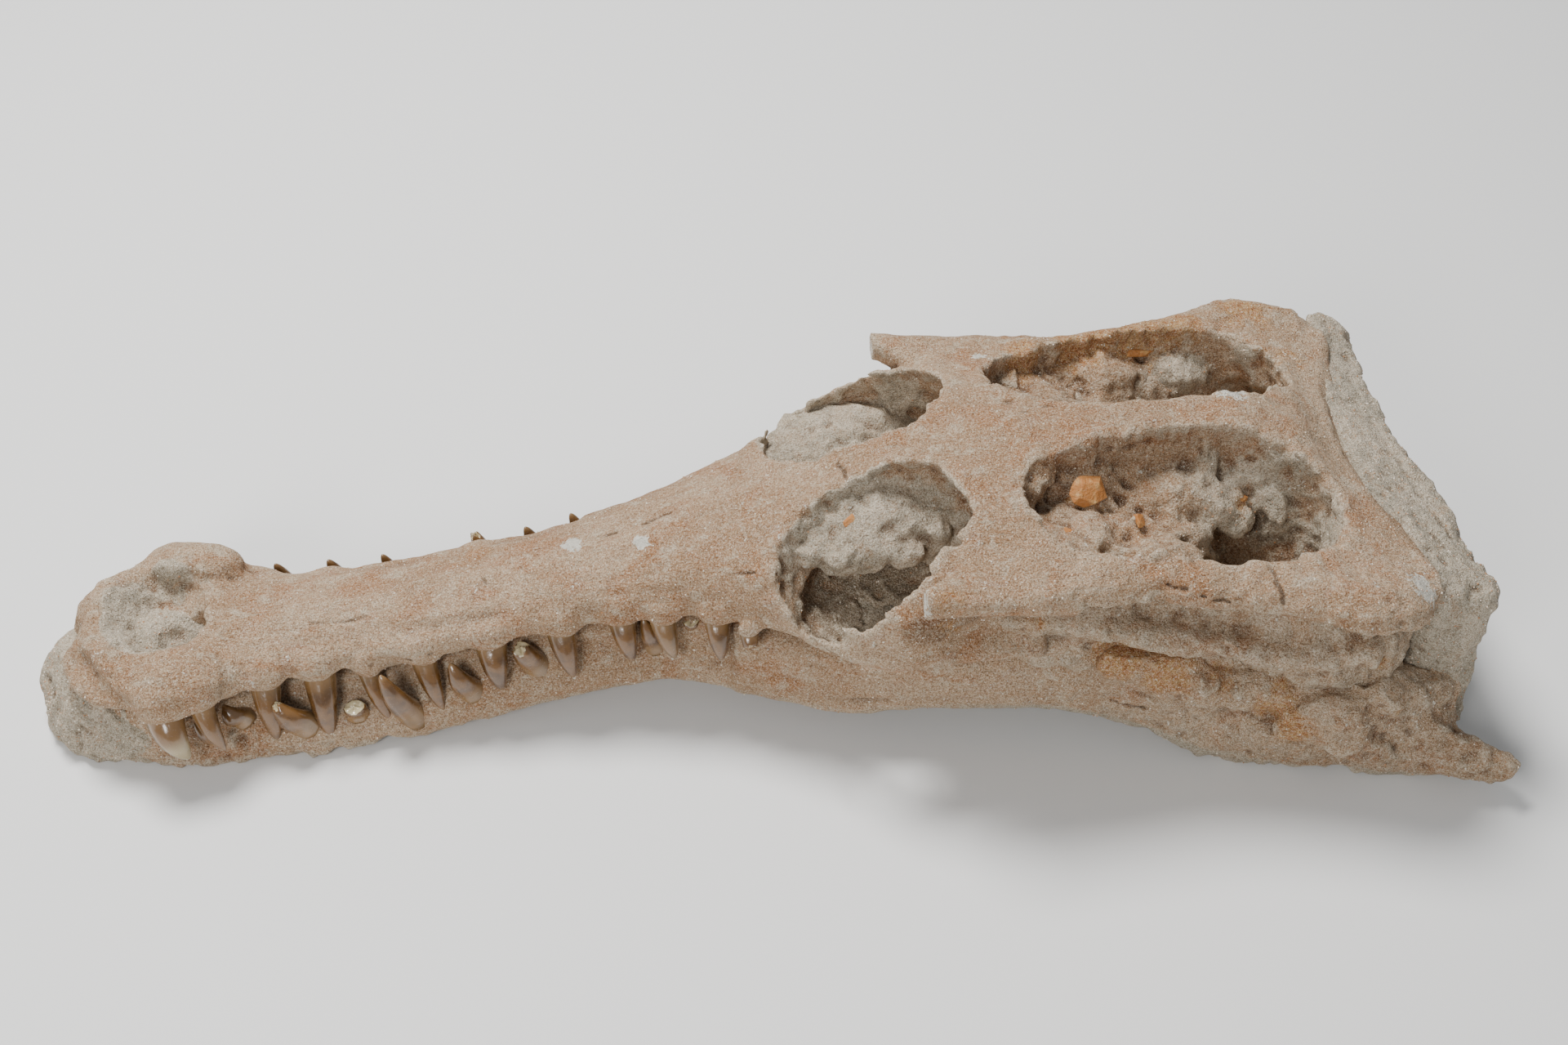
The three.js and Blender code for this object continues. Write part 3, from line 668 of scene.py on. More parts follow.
# Rock and broken bone left in the openings behind the eyes: centres and radii.
FENESTRA_LUMPS = (
    ((190, -18, 100), (22, 14, 12)), ((168, -18, 106), (20, 14, 14)),
    ((214, -10, 106), (14, 10, 16)), ((150, -40, 100), (24, 22, 12)),
    ((122, -44, 108), (18, 24, 12)), ((204, -26, 96), (10, 9, 7)),
    ((224, -22, 92), (10, 12, 20)), ((176, -38, 98), (12, 9, 8)),
    ((134, -16, 108), (20, 12, 16)), ((168, 16, 112), (16, 12, 14)),
    ((144, 20, 110), (16, 14, 14)), ((192, 16, 108), (16, 12, 12)),
    ((200, 74, 96), (20, 10, 14)), ((128, 52, 106), (18, 22, 11)),
    ((160, 70, 100), (22, 10, 14)), ((190, -8, 124), (3, 8, 14)),
    ((160, -62, 108), (18, 16, 8)), ((106, -22, 128), (12, 12, 8)),
)
CRANIUM_PITS = (
    ((254, -113, 110), 3.2), ((103, 18, 140), 2.2), ((-147, -10, 74), 2.0), ((-226, 8, 62), 1.6),
)


def carve_cranium(block, bone):
    """The forms of this one skull that are smaller than its main shapes."""
    for side in (LEFT, RIGHT):
        # The lobes of the snout's tip, and the waist behind them.
        block.blob(bone, (-287, side * 36, 52), (20, 13, 11), 9)
        block.blob(bone, (-322, side * 19, 50), (14, 12, 10), 8)
        for line, width, height in BOTH_SIDES_RIDGES:
            block.ridge(bone, on_side(line, side), width, height)
    block.blob(bone, (-344, 2, 46), (9, 8, 14), 6, cut=True)
    # The front of the lip is sunk on both sides, and its edge runs round below.
    block.rod(bone, [(-335, -20, 54), (-325, -36, 52), (-313, -47, 45)], (5, 6), 7, cut=True)
    block.rod(bone, [(-334, 24, 54), (-322, 38, 50)], (4, 5), 7, cut=True)
    block.rod(bone, [(-268, 22, 60), (-262, 15, 60)], (2.4, 1.2), 2, cut=True)
    block.blob(bone, (-279, 30, 60), (17, 11, 8), 7)
    block.blob(bone, (-284, -7, 47), (14, 14, 10), 4, cut=True)
    for line, width, height in MUZZLE_RIDGES:
        block.ridge(bone, line, width, height)
    for centre, radii in FENESTRA_LUMPS:
        block.blob(bone, centre, radii, 7)
    block.blob(bone, (133, -20, 113), (10, 6, 4), 2, turn=0.3)
    block.blob(bone, (154, -38, 112), (4, 3, 4), 1.5)
    for centre, radius in CRANIUM_PITS:
        block.blob(bone, centre, (radius, radius, radius), 1.5, cut=True)
    for line, width in CRANIUM_CRACKS:
        block.ridge(bone, line, width, -CRACK_DEPTH)


def roughen(block, bone, openings):
    """Weathered bone outside, and lumpy rock inside the openings. Returns the rock's share, and the
    share of painted shade in the openings' depths and under the free bar.
    """
    orbit, hole, naris = openings["orbit"], openings["hole"], openings["naris"]
    depth = np.minimum(np.minimum(orbit, hole), naris)
    rock = step(-depth, -2.6, 1.4)
    coarse, middle, fine = block.noise(18, 11), block.noise(7, 12), block.noise(2.5, 13)
    crumbs = np.abs(block.noise(4.5, 15)) - 0.6
    bone += (0.35 * coarse + 0.26 * middle + 0.13 * fine) * (1 - rock)
    bone += (1.3 * coarse + 0.7 * middle + 0.4 * fine + 0.6 * crumbs) * rock
    # Broken, pitted bone round the rims and on the outer bars.
    worn = bump(depth - 3, 4) + 0.7 * step(np.abs(block.y), 70, 92) * step(block.x, 90, 130)
    bone += (0.35 * crumbs + 0.2 * fine) * np.clip(worn, 0, 1)
    # Fine grain runs along the muzzle.
    grain = block.noise(2.3, 14, (9, 1, 1))
    bone += 0.2 * grain * step(-block.x, 20, 80) * (1 - rock)
    front = 1 - 0.65 * step(208 - block.x, 0, 50) * step(block.x, 90, 100)
    # Painted shade: the rock in the openings behind the muzzle darkens with depth below the rim, as
    # though in shadow.
    deep = rock * step(98 - block.z, 0, 24) * (block.x > -60)
    # The recess under the free bar gets painted shade too.
    for side in (LEFT, RIGHT):
        part, away, _ = block.along(on_side(UNDER_PRONG[:3], side), 18)
        deep[part] = np.maximum(deep[part], 0.75 * step(16.5 - away, 0, 3))
    return rock * np.where(naris < 4, 1.0, 0.8 * front).astype(np.float32), deep.astype(np.float32)


# ---------------------------------------------------------------- meshes

def surface(block, field):
    """The skin of a field as points in mm and four-cornered faces, facing outward."""
    grid = openvdb.FloatGrid(30.0)
    grid.copyFromArray(np.ascontiguousarray(field, np.float32))
    points, quads = grid.convertToQuads(0.0)
    points = (points + block.first) * block.cube
    quads = quads.astype(np.int64)
    a, b, c, d = (points[quads[:, k]] for k in range(4))
    volume = np.einsum("ij,ij->i", a, np.cross(b - a, c - a) + np.cross(c - a, d - a)).sum()
    if volume < 0:
        quads = quads[:, ::-1]
    return points, quads


def largest_shell(points, quads):
    """Drops loose crumbs: keeps only the shell with the most faces."""
    parent = np.arange(len(points))
    edges = np.vstack([quads[:, [0, 1]], quads[:, [1, 2]], quads[:, [2, 3]]])
    while True:
        low = np.minimum(parent[edges[:, 0]], parent[edges[:, 1]])
        before = parent.copy()
        np.minimum.at(parent, edges[:, 0], low)
        np.minimum.at(parent, edges[:, 1], low)
        parent = parent[parent]
        parent = parent[parent]
        if (parent == before).all():
            break
    owner = parent[quads[:, 0]]
    names, counts = np.unique(owner, return_counts=True)
    return quads[owner == names[counts.argmax()]]


def point_normals(points, quads):
    a, b, c, d = (points[quads[:, k]] for k in range(4))
    flat = np.cross(c - a, d - b)
    normals = np.zeros_like(points)
    for k in range(4):
        np.add.at(normals, quads[:, k], flat)
    return normals / (np.linalg.norm(normals, axis=1)[:, None] + 1e-9)


def to_frame(points):
    """Skull coordinates in mm to the frame's metres."""
    return (points + np.array([CENTRE_SHIFT, 0, 0])) / 1000


def piece(name, points, quads, normals, values, material, nodes):
    """A Blender mesh from part of a skin, with its own values at each point."""
    used, quads = np.unique(quads, return_inverse=True)
    quads = quads.reshape(-1, 4)
    mesh = bpy.data.meshes.new(name)
    mesh.vertices.add(len(used))
    mesh.vertices.foreach_set("co", to_frame(points[used]).astype(np.float32).ravel())
    mesh.loops.add(quads.size)
    mesh.loops.foreach_set("vertex_index", quads.astype(np.int32).ravel())
    mesh.polygons.add(len(quads))
    mesh.polygons.foreach_set("loop_start", np.arange(0, quads.size, 4, dtype=np.int32))
    mesh.update(calc_edges=True)
    mesh.validate()
    mesh.shade_smooth()
    mesh.normals_split_custom_set_from_vertices(normals[used].tolist())
    for key, value in values.items():
        attribute = mesh.attributes.new(key, "FLOAT", "POINT")
        attribute.data.foreach_set("value", value[used].astype(np.float32))
    mesh.materials.append(material)
    obj = bpy.data.objects.new(name, mesh)
    bpy.context.scene.collection.objects.link(obj)
    finish_piece(obj, nodes)
    return obj


def finish_piece(obj, nodes):
    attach(obj, "root")
    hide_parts(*nodes)


def spot_share(points, spots):
    """How far points lie inside any of the spots, each a centre, a radius and a strength."""
    share = np.zeros(len(points))
    for centre, radius, strength in spots:
        away = np.linalg.norm(points - np.array(centre), axis=1) / radius
        share = np.maximum(share, strength * np.clip(1.35 - away, 0, 1))
    return share


def line_share(points, lines):
    """1 on any of the lines, falling to 0 at about twice a line's width."""
    share = np.zeros(len(points))
    for line, width in lines:
        for a, b in zip(np.array(line[:-1], float), np.array(line[1:], float)):
            leg = b - a
            t = np.clip((points - a) @ leg / (leg @ leg), 0, 1)
            away = np.linalg.norm(points - a - t[:, None] * leg, axis=1)
            share = np.maximum(share, np.clip(2 - away / width, 0, 1))
    return share


def skin_pieces(block, field, rock, cuts, names, material, nodes, cracks=(), deep=None):
    """Meshes a field and parts it along X at the cuts, into pieces that meet without a seam."""
    points, quads = surface(block, field)
    quads = largest_shell(points, quads)
    normals = point_normals(points, quads)
    soft, softer = blur(field, 3), blur(field, 24)
    values = {
        "rock": block.sample(rock, points),
        # edge and hollow measure how the skin bends out or in: the material puts pale wear on the
        # bends out, and dirt with painted shade in the bends in.
        "edge": block.sample(soft, points) / block.cube,
        "hollow": block.sample(softer, points) / block.cube,
        "orange": spot_share(points, ORANGE_SPOTS),
        "chalk": spot_share(points, CHALK_SPOTS),
        "crack": line_share(points, cracks),
        # deep carries the share of painted shade in the openings' depths and under the free bar.
        "deep": block.sample(deep, points) if deep is not None else np.zeros(len(points)),
    }
    middle = points[quads].mean(1)[:, 0]
    bounds = [-1e9, *cuts, 1e9]
    for name, low, high in zip(names, bounds[:-1], bounds[1:]):
        chosen = quads[(middle >= low) & (middle < high)]
        piece(name, points, chosen, normals, values, material, nodes)


# ---------------------------------------------------------------- materials

class Shader:
    """Adds nodes to a material and joins them up."""

    def __init__(self, name):
        self.material = bpy.data.materials.new(name)
        self.material.use_nodes = True
        self.tree = self.material.node_tree
        self.out = self.tree.nodes["Principled BSDF"]
        self.place = self.add("ShaderNodeTexCoord").outputs["Object"]

    def add(self, kind, inputs=None, **settings):
        node = self.tree.nodes.new(kind)
        for key, value in settings.items():
            setattr(node, key, value)
        for key, value in (inputs or {}).items():
            self.set(node.inputs[key], value)
        return node

    def set(self, socket, value):
        if isinstance(value, bpy.types.NodeSocket):
            self.tree.links.new(value, socket)
        else:
            socket.default_value = value

    def attribute(self, name):
        return self.add("ShaderNodeAttribute", attribute_name=name).outputs["Fac"]

    def noise(self, scale, detail=3, roughness=0.55, distortion=0.0, place=None):
        inputs = {
            "Vector": place or self.place, "Scale": scale, "Detail": detail, "Roughness": roughness,
            "Distortion": distortion,
        }
        return self.add("ShaderNodeTexNoise", inputs).outputs["Fac"]

    def cells(self, scale, feature="F1"):
        inputs = {"Vector": self.place, "Scale": scale}
        return self.add("ShaderNodeTexVoronoi", inputs, feature=feature).outputs["Distance"]

    def ramp(self, value, low, high, start=0.0, end=1.0):
        inputs = {"Value": value, 1: low, 2: high, 3: start, 4: end}
        return self.add("ShaderNodeMapRange", inputs, interpolation_type="SMOOTHSTEP").outputs[0]

    def math(self, operation, a, b=0.0):
        return self.add("ShaderNodeMath", {0: a, 1: b}, operation=operation).outputs[0]

    def mix(self, share, a, b, blend="MIX"):
        inputs = {0: share, 6: colour4(a), 7: colour4(b)}
        node = self.add("ShaderNodeMix", data_type="RGBA", blend_type=blend)
        for key, value in inputs.items():
            self.set(node.inputs[key], value)
        return node.outputs[2]

    def bump(self, height, strength, distance, normal=None):
        inputs = {"Height": height, "Strength": strength, "Distance": distance}
        node = self.add("ShaderNodeBump", inputs)
        if normal:
            self.set(node.inputs["Normal"], normal)
        return node.outputs[0]


def colour4(value):
    """A colour of three numbers as the four that a node wants."""
    return value if isinstance(value, bpy.types.NodeSocket) or len(value) == 4 else (*value, 1.0)


def fossil_material(name, settings):
    """Bone and rock in one material: the rock attribute says how much of the skin is rock."""
    s = Shader(name)
    edge, hollow = s.attribute("edge"), s.attribute("hollow")
    broad = s.noise(13, 2, 0.5, 0.6)
    patch = s.noise(38, 4, 0.62, 0.8)
    blotch = s.noise(105, 4, 0.68, 0.6)
    speck = s.noise(400, 3, 0.65)
    coarse = s.noise(760, 2, 0.7)
    grain = s.noise(1500, 3, 0.8)
    sand = s.cells(900)
    stretched = s.add("ShaderNodeMapping", {"Vector": s.place, "Scale": (0.12, 1, 1)}).outputs[0]
    fibre = s.noise(330, 4, 0.7, 0.3, stretched)

    bone = s.mix(s.ramp(broad, 0.40, 0.58), settings.bone_tan, settings.bone_pale)
    bone = s.mix(s.ramp(patch, 0.50, 0.66, 0, 0.75), bone, settings.bone_rust)
    bone = s.mix(s.ramp(blotch, 0.54, 0.70, 0, 0.5), bone, settings.bone_pink)
    bone = s.mix(s.ramp(blotch, 0.47, 0.33, 0, 0.6), bone, settings.bone_chalk)
    bone = s.mix(s.ramp(fibre, 0.52, 0.68, 0, 0.4), bone, settings.bone_rust)
    bone = s.mix(s.ramp(fibre, 0.46, 0.32, 0, 0.35), bone, settings.bone_chalk)
    bone = s.mix(s.ramp(speck, 0.58, 0.70, 0, 0.5), bone, settings.bone_rust)

    rock = s.mix(s.ramp(patch, 0.40, 0.62), settings.rock_grey, settings.rock_pale)
    rock = s.mix(s.ramp(blotch, 0.52, 0.68, 0, 0.6), rock, settings.bone_tan)
    rock = s.mix(s.ramp(speck, 0.60, 0.72, 0, 0.6), rock, settings.rock_dark)

    wander = s.math("MULTIPLY", s.math("SUBTRACT", blotch, 0.5), 1.6)
    share = s.ramp(s.math("ADD", s.attribute("rock"), wander), 0.30, 0.80)
    base = s.mix(share, bone, rock)
    # Painted shade deep in the openings and under the free bar, dirt and painted shade in the hollows
    # and creases, pale wear on the edges, and dark and light sand grains.
    base = s.mix(s.ramp(s.attribute("deep"), 0, 1, 0, 0.85), base, settings.deep, "MULTIPLY")
    base = s.mix(s.ramp(hollow, 0.2, -3.0, 0, 0.5), base, settings.dirt_and_shade, "MULTIPLY")
    base = s.mix(s.ramp(edge, -0.06, -0.45, 0, 0.6), base, settings.dirt_and_shade, "MULTIPLY")
    base = s.mix(s.ramp(edge, 0.10, 0.45, 0, 0.5), base, settings.bone_chalk)
    orange = s.ramp(s.math("ADD", s.attribute("orange"), wander), 0.35, 0.75, 0, 0.75)
    base = s.mix(orange, base, s.mix(s.ramp(speck, 0.4, 0.6), settings.orange, settings.yellow))
    base = s.mix(s.ramp(coarse, 0.50, 0.66, 0, 0.5), base, settings.grain_dark, "MULTIPLY")
    base = s.mix(s.ramp(coarse, 0.46, 0.32, 0, 0.3), base, settings.grain_light)
    base = s.mix(s.ramp(grain, 0.50, 0.62, 0, 0.8), base, settings.grain_dark, "MULTIPLY")
    base = s.mix(s.ramp(grain, 0.47, 0.36, 0, 0.55), base, settings.grain_light)
    ragged = s.math("MULTIPLY", s.math("SUBTRACT", speck, 0.5), 2.2)
    chalk = s.ramp(s.math("ADD", s.attribute("chalk"), s.math("ADD", ragged, wander)), 0.45, 0.6)
    base = s.mix(chalk, base, settings.filler)
    base = s.mix(s.ramp(s.attribute("crack"), 0.4, 1.6, 0, 0.9), base, settings.crack)
    s.set(s.out.inputs["Base Color"], base)
    s.set(s.out.inputs["Roughness"], s.ramp(grain, 0.3, 0.7, 0.72, 0.95))
    s.set(s.out.inputs["Specular IOR Level"], 0.28)
    normal = s.bump(fibre, s.ramp(share, 0, 1, 0.7, 0.1), 0.0016)
    normal = s.bump(speck, 0.9, 0.0018, normal)
    normal = s.bump(sand, 0.8, 0.0008, normal)
    normal = s.bump(grain, 0.9, 0.0009, normal)
    s.set(s.out.inputs["Normal"], normal)
    return s.material


def tooth_material(settings):
    """Glossy brown enamel, paler at the neck, streaked along the crown."""
    s = Shader("tooth_enamel")
    along, tint = s.attribute("along"), s.attribute("tint")
    cloud, streak = s.noise(120, 3, 0.6, 0.4), s.noise(600, 3, 0.7)
    base = s.mix(s.ramp(cloud, 0.60, 0.36, 0, 0.6), settings.tooth_brown, settings.tooth_dark)
    base = s.mix(s.ramp(along, 0.30, -0.05, 0, 0.4), base, settings.tooth_pale)
    base = s.mix(s.ramp(along, 0.88, 1.0, 0, 0.4), base, settings.tooth_pale)
    olive = s.mix(s.ramp(along, 0.75, 0.35), settings.tooth_olive, settings.tooth_brown)
    base = s.mix(s.ramp(tint, 0.5, 0.9, 0, 0.85), base, olive)
    base = s.mix(s.ramp(tint, 0.05, 0.5, 0.0, 0.2), base, settings.tooth_pale)
    base = s.mix(s.ramp(streak, 0.55, 0.75, 0, 0.2), base, settings.tooth_dark)
    base = s.mix(s.ramp(s.attribute("broken"), 0.3, 0.9, 0, 0.8), base, settings.tooth_break)
    s.set(s.out.inputs["Base Color"], base)
    s.set(s.out.inputs["Roughness"], s.ramp(streak, 0.3, 0.8, 0.16, 0.32))
    s.set(s.out.inputs["Specular IOR Level"], 0.55)
    s.set(s.out.inputs["Coat Weight"], 0.8)
    s.set(s.out.inputs["Coat Roughness"], 0.10)
    s.set(s.out.inputs["Normal"], s.bump(streak, 0.3, 0.0005))
    return s.material


def grain_material(settings):
    """Sand grains from pale quartz to rusty brown."""
    s = Shader("sand_grain")
    base = s.mix(s.ramp(s.noise(600, 1), 0.42, 0.58), settings.grain_light, settings.bone_rust)
    base = s.mix(s.ramp(s.noise(350, 1), 0.55, 0.62), base, settings.rock_grey)
    s.set(s.out.inputs["Base Color"], base)
    s.set(s.out.inputs["Roughness"], 0.45)
    return s.material


def chip_material(settings):
    """Freshly broken bone: orange to yellow, with fine layers."""
    s = Shader("bone_chip")
    base = s.mix(s.ramp(s.noise(240, 3), 0.46, 0.72), settings.orange, settings.yellow)
    base = s.mix(s.ramp(s.noise(900, 2), 0.52, 0.66, 0, 0.7), base, settings.bone_rust)
    s.set(s.out.inputs["Base Color"], base)
    s.set(s.out.inputs["Roughness"], 0.6)
    s.set(s.out.inputs["Normal"], s.bump(s.noise(700, 3, 0.7), 0.8, 0.0012))
    return s.material


def plain_material(name, colour, roughness):
    s = Shader(name)
    s.set(s.out.inputs["Base Color"], (*colour, 1.0))
    s.set(s.out.inputs["Roughness"], roughness)
    return s.material


# ---------------------------------------------------------------- settings

def length(name, default, description):
    return FloatProperty(
        name=name, default=default, description=description, subtype="DISTANCE", unit="LENGTH"
    )


def power(name, default, description):
    return FloatProperty(name=name, default=default, description=description, unit="POWER")


def colour(name, default, description):
    return FloatVectorProperty(
        name=name, default=default, description=description, subtype="COLOR", size=3, min=0, max=1
    )


class SkullShape(bpy.types.PropertyGroup):
    """Sizes that the modelling of the bone and rock works with."""

    cube: length("Cube", 0.0011, "Size of the cubes that the bone and rock are modelled in")
    quick_cube: length("Quick cube", 0.0022, "Size of the cubes in a quick trial")
    tooth_sides: IntProperty(
        name="Tooth sides", default=32, min=6, description="Faces round each tooth crown"
    )
    grains: FloatProperty(
        name="Grains", default=22000.0, min=0, description="Sand grains on each square metre of bone"
    )
    grain_smallest: length("Smallest grain", 0.00018, "Radius of the smallest sand grains")
    grain_largest: length("Largest grain", 0.00055, "Radius of the largest sand grains")


class SkullColours(bpy.types.PropertyGroup):
    """Colours of the fossil bone, the rock and the teeth."""

    bone_pale: colour("Pale bone", (0.56, 0.39, 0.245), "Main colour of the bone")
    bone_tan: colour("Tan bone", (0.45, 0.285, 0.160), "Darker fields of the bone")
    bone_rust: colour("Rust", (0.43, 0.205, 0.085), "Rusty stains")
    bone_pink: colour("Pink", (0.46, 0.265, 0.170), "Pinkish stains")
    bone_chalk: colour("Chalk", (0.66, 0.56, 0.42), "Chalky worn bone")
    rock_pale: colour("Pale rock", (0.61, 0.525, 0.40), "Pale sandy rock")
    rock_grey: colour("Grey rock", (0.46, 0.40, 0.30), "Grey green rock")
    rock_dark: colour("Dark rock", (0.22, 0.19, 0.14), "Dark specks in the rock")
    orange: colour("Orange", (0.44, 0.17, 0.04), "Orange bone that shows its inside")
    yellow: colour("Yellow", (0.58, 0.34, 0.13), "Yellow bone that shows its inside")
    filler: colour("Filler", (0.72, 0.67, 0.57), "White filler and fresh breaks")
    crack: colour("Crack", (0.06, 0.04, 0.025), "Dark inside of cracks")
    # Painted shade, multiplied into the skin deep in the openings and under the free bar.
    deep: colour("Deep", (0.44, 0.37, 0.295), "Darker rock deep in the openings")
    # Dirt and painted shade, multiplied into the hollows and creases.
    dirt_and_shade: colour("Dirt", (0.36, 0.26, 0.18), "Dirt in the hollows")
    grain_dark: colour("Dark grain", (0.52, 0.42, 0.34), "Dark sand grains")
    grain_light: colour("Light grain", (0.80, 0.72, 0.60), "Light sand grains")
    tooth_dark: colour("Dark tooth", (0.052, 0.024, 0.009), "Dark brown enamel")
    tooth_brown: colour("Brown tooth", (0.175, 0.082, 0.023), "Brown enamel")
    tooth_pale: colour("Pale tooth", (0.36, 0.235, 0.115), "Paler neck and worn tip")
    tooth_break: colour("Broken tooth", (0.66, 0.56, 0.34), "The inside of a broken crown")
    tooth_olive: colour("Olive tooth", (0.42, 0.35, 0.19), "The olive enamel of a few crowns")


class StageSettings(bpy.types.PropertyGroup):
    """The floor and the studio light."""

    floor: colour("Floor", (0.80, 0.79, 0.77), "Colour of the floor")
    key_power: power("Key light", 54.0, "Strength of the main light")
    fill_power: power("Fill light", 18.0, "Strength of the front light")


# ---------------------------------------------------------------- operators

_made = {}  # fields that one operator makes and another reads


def cube_size():
    shape = bpy.context.scene.skull_shape
    return (shape.cube) * 1000


def material_of(kind):
    if kind not in _made:
        colours = bpy.context.scene.skull_colours
        if kind == "tooth":
            _made[kind] = tooth_material(colours)
        elif kind == "grain":
            _made[kind] = grain_material(colours)
        elif kind == "chip":
            _made[kind] = chip_material(colours)
        else:
            _made[kind] = fossil_material(f"fossil_{kind}", colours)
    return _made[kind]


def cranium_field():
    if "cranium" not in _made:
        block = Block(CRANIUM_LOW, CRANIUM_HIGH, cube_size())
        bone, openings = cranium_forms(block)
        alveoli(block, bone)
        carve_cranium(block, bone)
        rock, deep = roughen(block, bone, openings)
        _made["cranium"] = (block, bone, rock, deep)
    return _made["cranium"]


# Raised rims of four sockets on the jaw's left side: centre and radius.
JAW_SOCKETS = (
    ((-92, -34, 44), 6), ((-36, -41, 50), 5.5), ((-263, -42, 14), 6), ((-170, -40, 24), 5),
)
# Broken bone that stands out on the left side: centres and radii.
JAW_LUMPS = (
    ((145, -79, 62), (13, 6, 12)), ((166, -83, 56), (16, 6, 13)), ((186, -87, 50), (12, 6, 9)),
    ((205, -93, 50), (14, 7, 10)), ((222, -104, 38), (14, 7, 9)), ((232, -107, 50), (10, 6, 7)),
    ((246, -110, 30), (11, 7, 12)), ((214, -98, 24), (12, 6, 8)), ((256, -112, 22), (14, 6, 10)),
)
# Long grooves in front, and short ones between the lumps.
JAW_GROOVES = (
    ([(-70, -35, 24), (-31, -43, 24), (6, -58, 27), (43, -67, 32), (80, -72, 34)], 2.6, -1.8),
    ([(-300, -42, 8), (-230, -46, 7), (-180, -42, 10), (-130, -36, 16)], 4, -1.0),
)
LUMP_GROOVES = (
    ([(196, -96, 40), (212, -100, 34), (226, -106, 28)], 3, -2.6),
    ([(236, -106, 58), (242, -110, 40), (238, -110, 24)], 3, -2.6),
    ([(176, -88, 44), (192, -92, 60)], 3, -2.2),
)


def carve_mandible(block, bone):
    """Sockets, edges and broken lumps on the lower jaw."""
    for (x, y, z), radius in JAW_SOCKETS:
        ring = [
            (x + radius * math.cos(a), y - 1, z + radius * math.sin(a))
            for a in np.linspace(0, 6.3, 12)
        ]
        block.ridge(bone, ring, 2.2, 1.6)
        block.blob(bone, (x, y - 3, z), (radius * 0.7, 5, radius * 0.7), 2, cut=True)
    for line, width, height in JAW_GROOVES:
        block.ridge(bone, line, width, height)
    for centre, radii in JAW_LUMPS:
        block.blob(bone, centre, radii, 5)
    # A thin plate of bone stands behind the lumps.
    block.rod(bone, [(257, -104, 60), (266, -110, 42)], (3, 2), 3)
    for line, width, height in LUMP_GROOVES:
        block.ridge(bone, line, width, height)
    for line, width in JAW_CRACKS:
        block.ridge(bone, line, width, -CRACK_DEPTH)


def mandible_field():
    if "mandible" not in _made:
        block = Block(JAW_LOW, JAW_HIGH, cube_size())
        bone = block.loft(JAW_TIP, CHIN_BACK, symphysis_section)
        # The shelf that holds the sockets rises straight under the muzzle's lip.
        shelf = block.loft(-330, 20, shelf_section)
        bone = smooth_min(bone, shelf, 5)
        for side in (LEFT, RIGHT):
            bone = smooth_min(bone, block.loft(RAMUS_FRONT, JAW_BACK, ramus_section(side)), 6)
            bone = smooth_min(bone, block.loft(SPIKE_ROOT, SPIKE_TIP, spike_section(side)), 8)
        bone = block.soften(bone, JAW_SOFTNESS)
        carve_mandible(block, bone)
        coarse, middle, fine = block.noise(20, 21), block.noise(8, 22), block.noise(2.5, 23)
        crumbs = np.abs(block.noise(5, 24)) - 0.6
        broken = np.clip(step(block.x, 120, 200) + step(12 - block.z, 0, 10), 0, 1)
        grain = block.noise(2.3, 25, (9, 1, 1))
        bone += 0.4 * coarse + 0.25 * middle + 0.13 * fine + 0.15 * grain
        bone += (1.0 * coarse + 0.6 * middle + 0.25 * fine + 0.8 * crumbs) * broken
        bone = np.maximum(bone, -block.z)
        low = step(jaw_floor(block.x).astype(np.float32) + 9 - block.z, 0, 5)
        rock = np.clip(0.42 * step(block.x, 40, 150) + 0.5 * low, 0, 1).astype(np.float32)
        rock = np.array(np.broadcast_to(rock, block.shape))
        _made["mandible"] = (block, bone, rock)
    return _made["mandible"]


def shelf_section(x, turn):
    bite, floor = bite_line(x) - 1.0, jaw_floor(x)
    width = np.minimum(muzzle_width(x) - 4, jaw_width(x) - 4)
    return oval(turn, midline(x), width, bite, floor + 4, (bite + floor) / 2, 5, 4)


# Where the two big skins are parted along X, and the pieces that this gives.
CRANIUM_CUTS, JAW_CUTS = (-60, 86, 180), (-20, 160)
CRANIUM_PIECES = ("cranium_snout", "cranium_face", "cranium_table", "cranium_back")
JAW_PIECES = ("mandible_front", "mandible_middle", "mandible_back")


class SKULL_OT_cranium(bpy.types.Operator):
    """Models the cranium and meshes it in four pieces that meet without a seam"""

    bl_idname = "skull.cranium"
    bl_label = "Cranium"

    def execute(self, context):
        block, bone, rock, deep = cranium_field()
        skin_pieces(
            block, bone, rock, CRANIUM_CUTS, CRANIUM_PIECES, material_of("bone"),
            ["cranium"], CRANIUM_CRACKS, deep,
        )
        return {"FINISHED"}


class SKULL_OT_mandible(bpy.types.Operator):
    """Models the lower jaw and meshes it in three pieces"""

    bl_idname = "skull.mandible"
    bl_label = "Lower jaw"

    def execute(self, context):
        block, bone, rock = mandible_field()
        skin_pieces(
            block, bone, rock, JAW_CUTS, JAW_PIECES, material_of("jaw_bone"),
            ["mandible"], JAW_CRACKS,
        )
        return {"FINISHED"}


ROCK_SINK = 3.0  # how far the rock runs into the bone that it holds


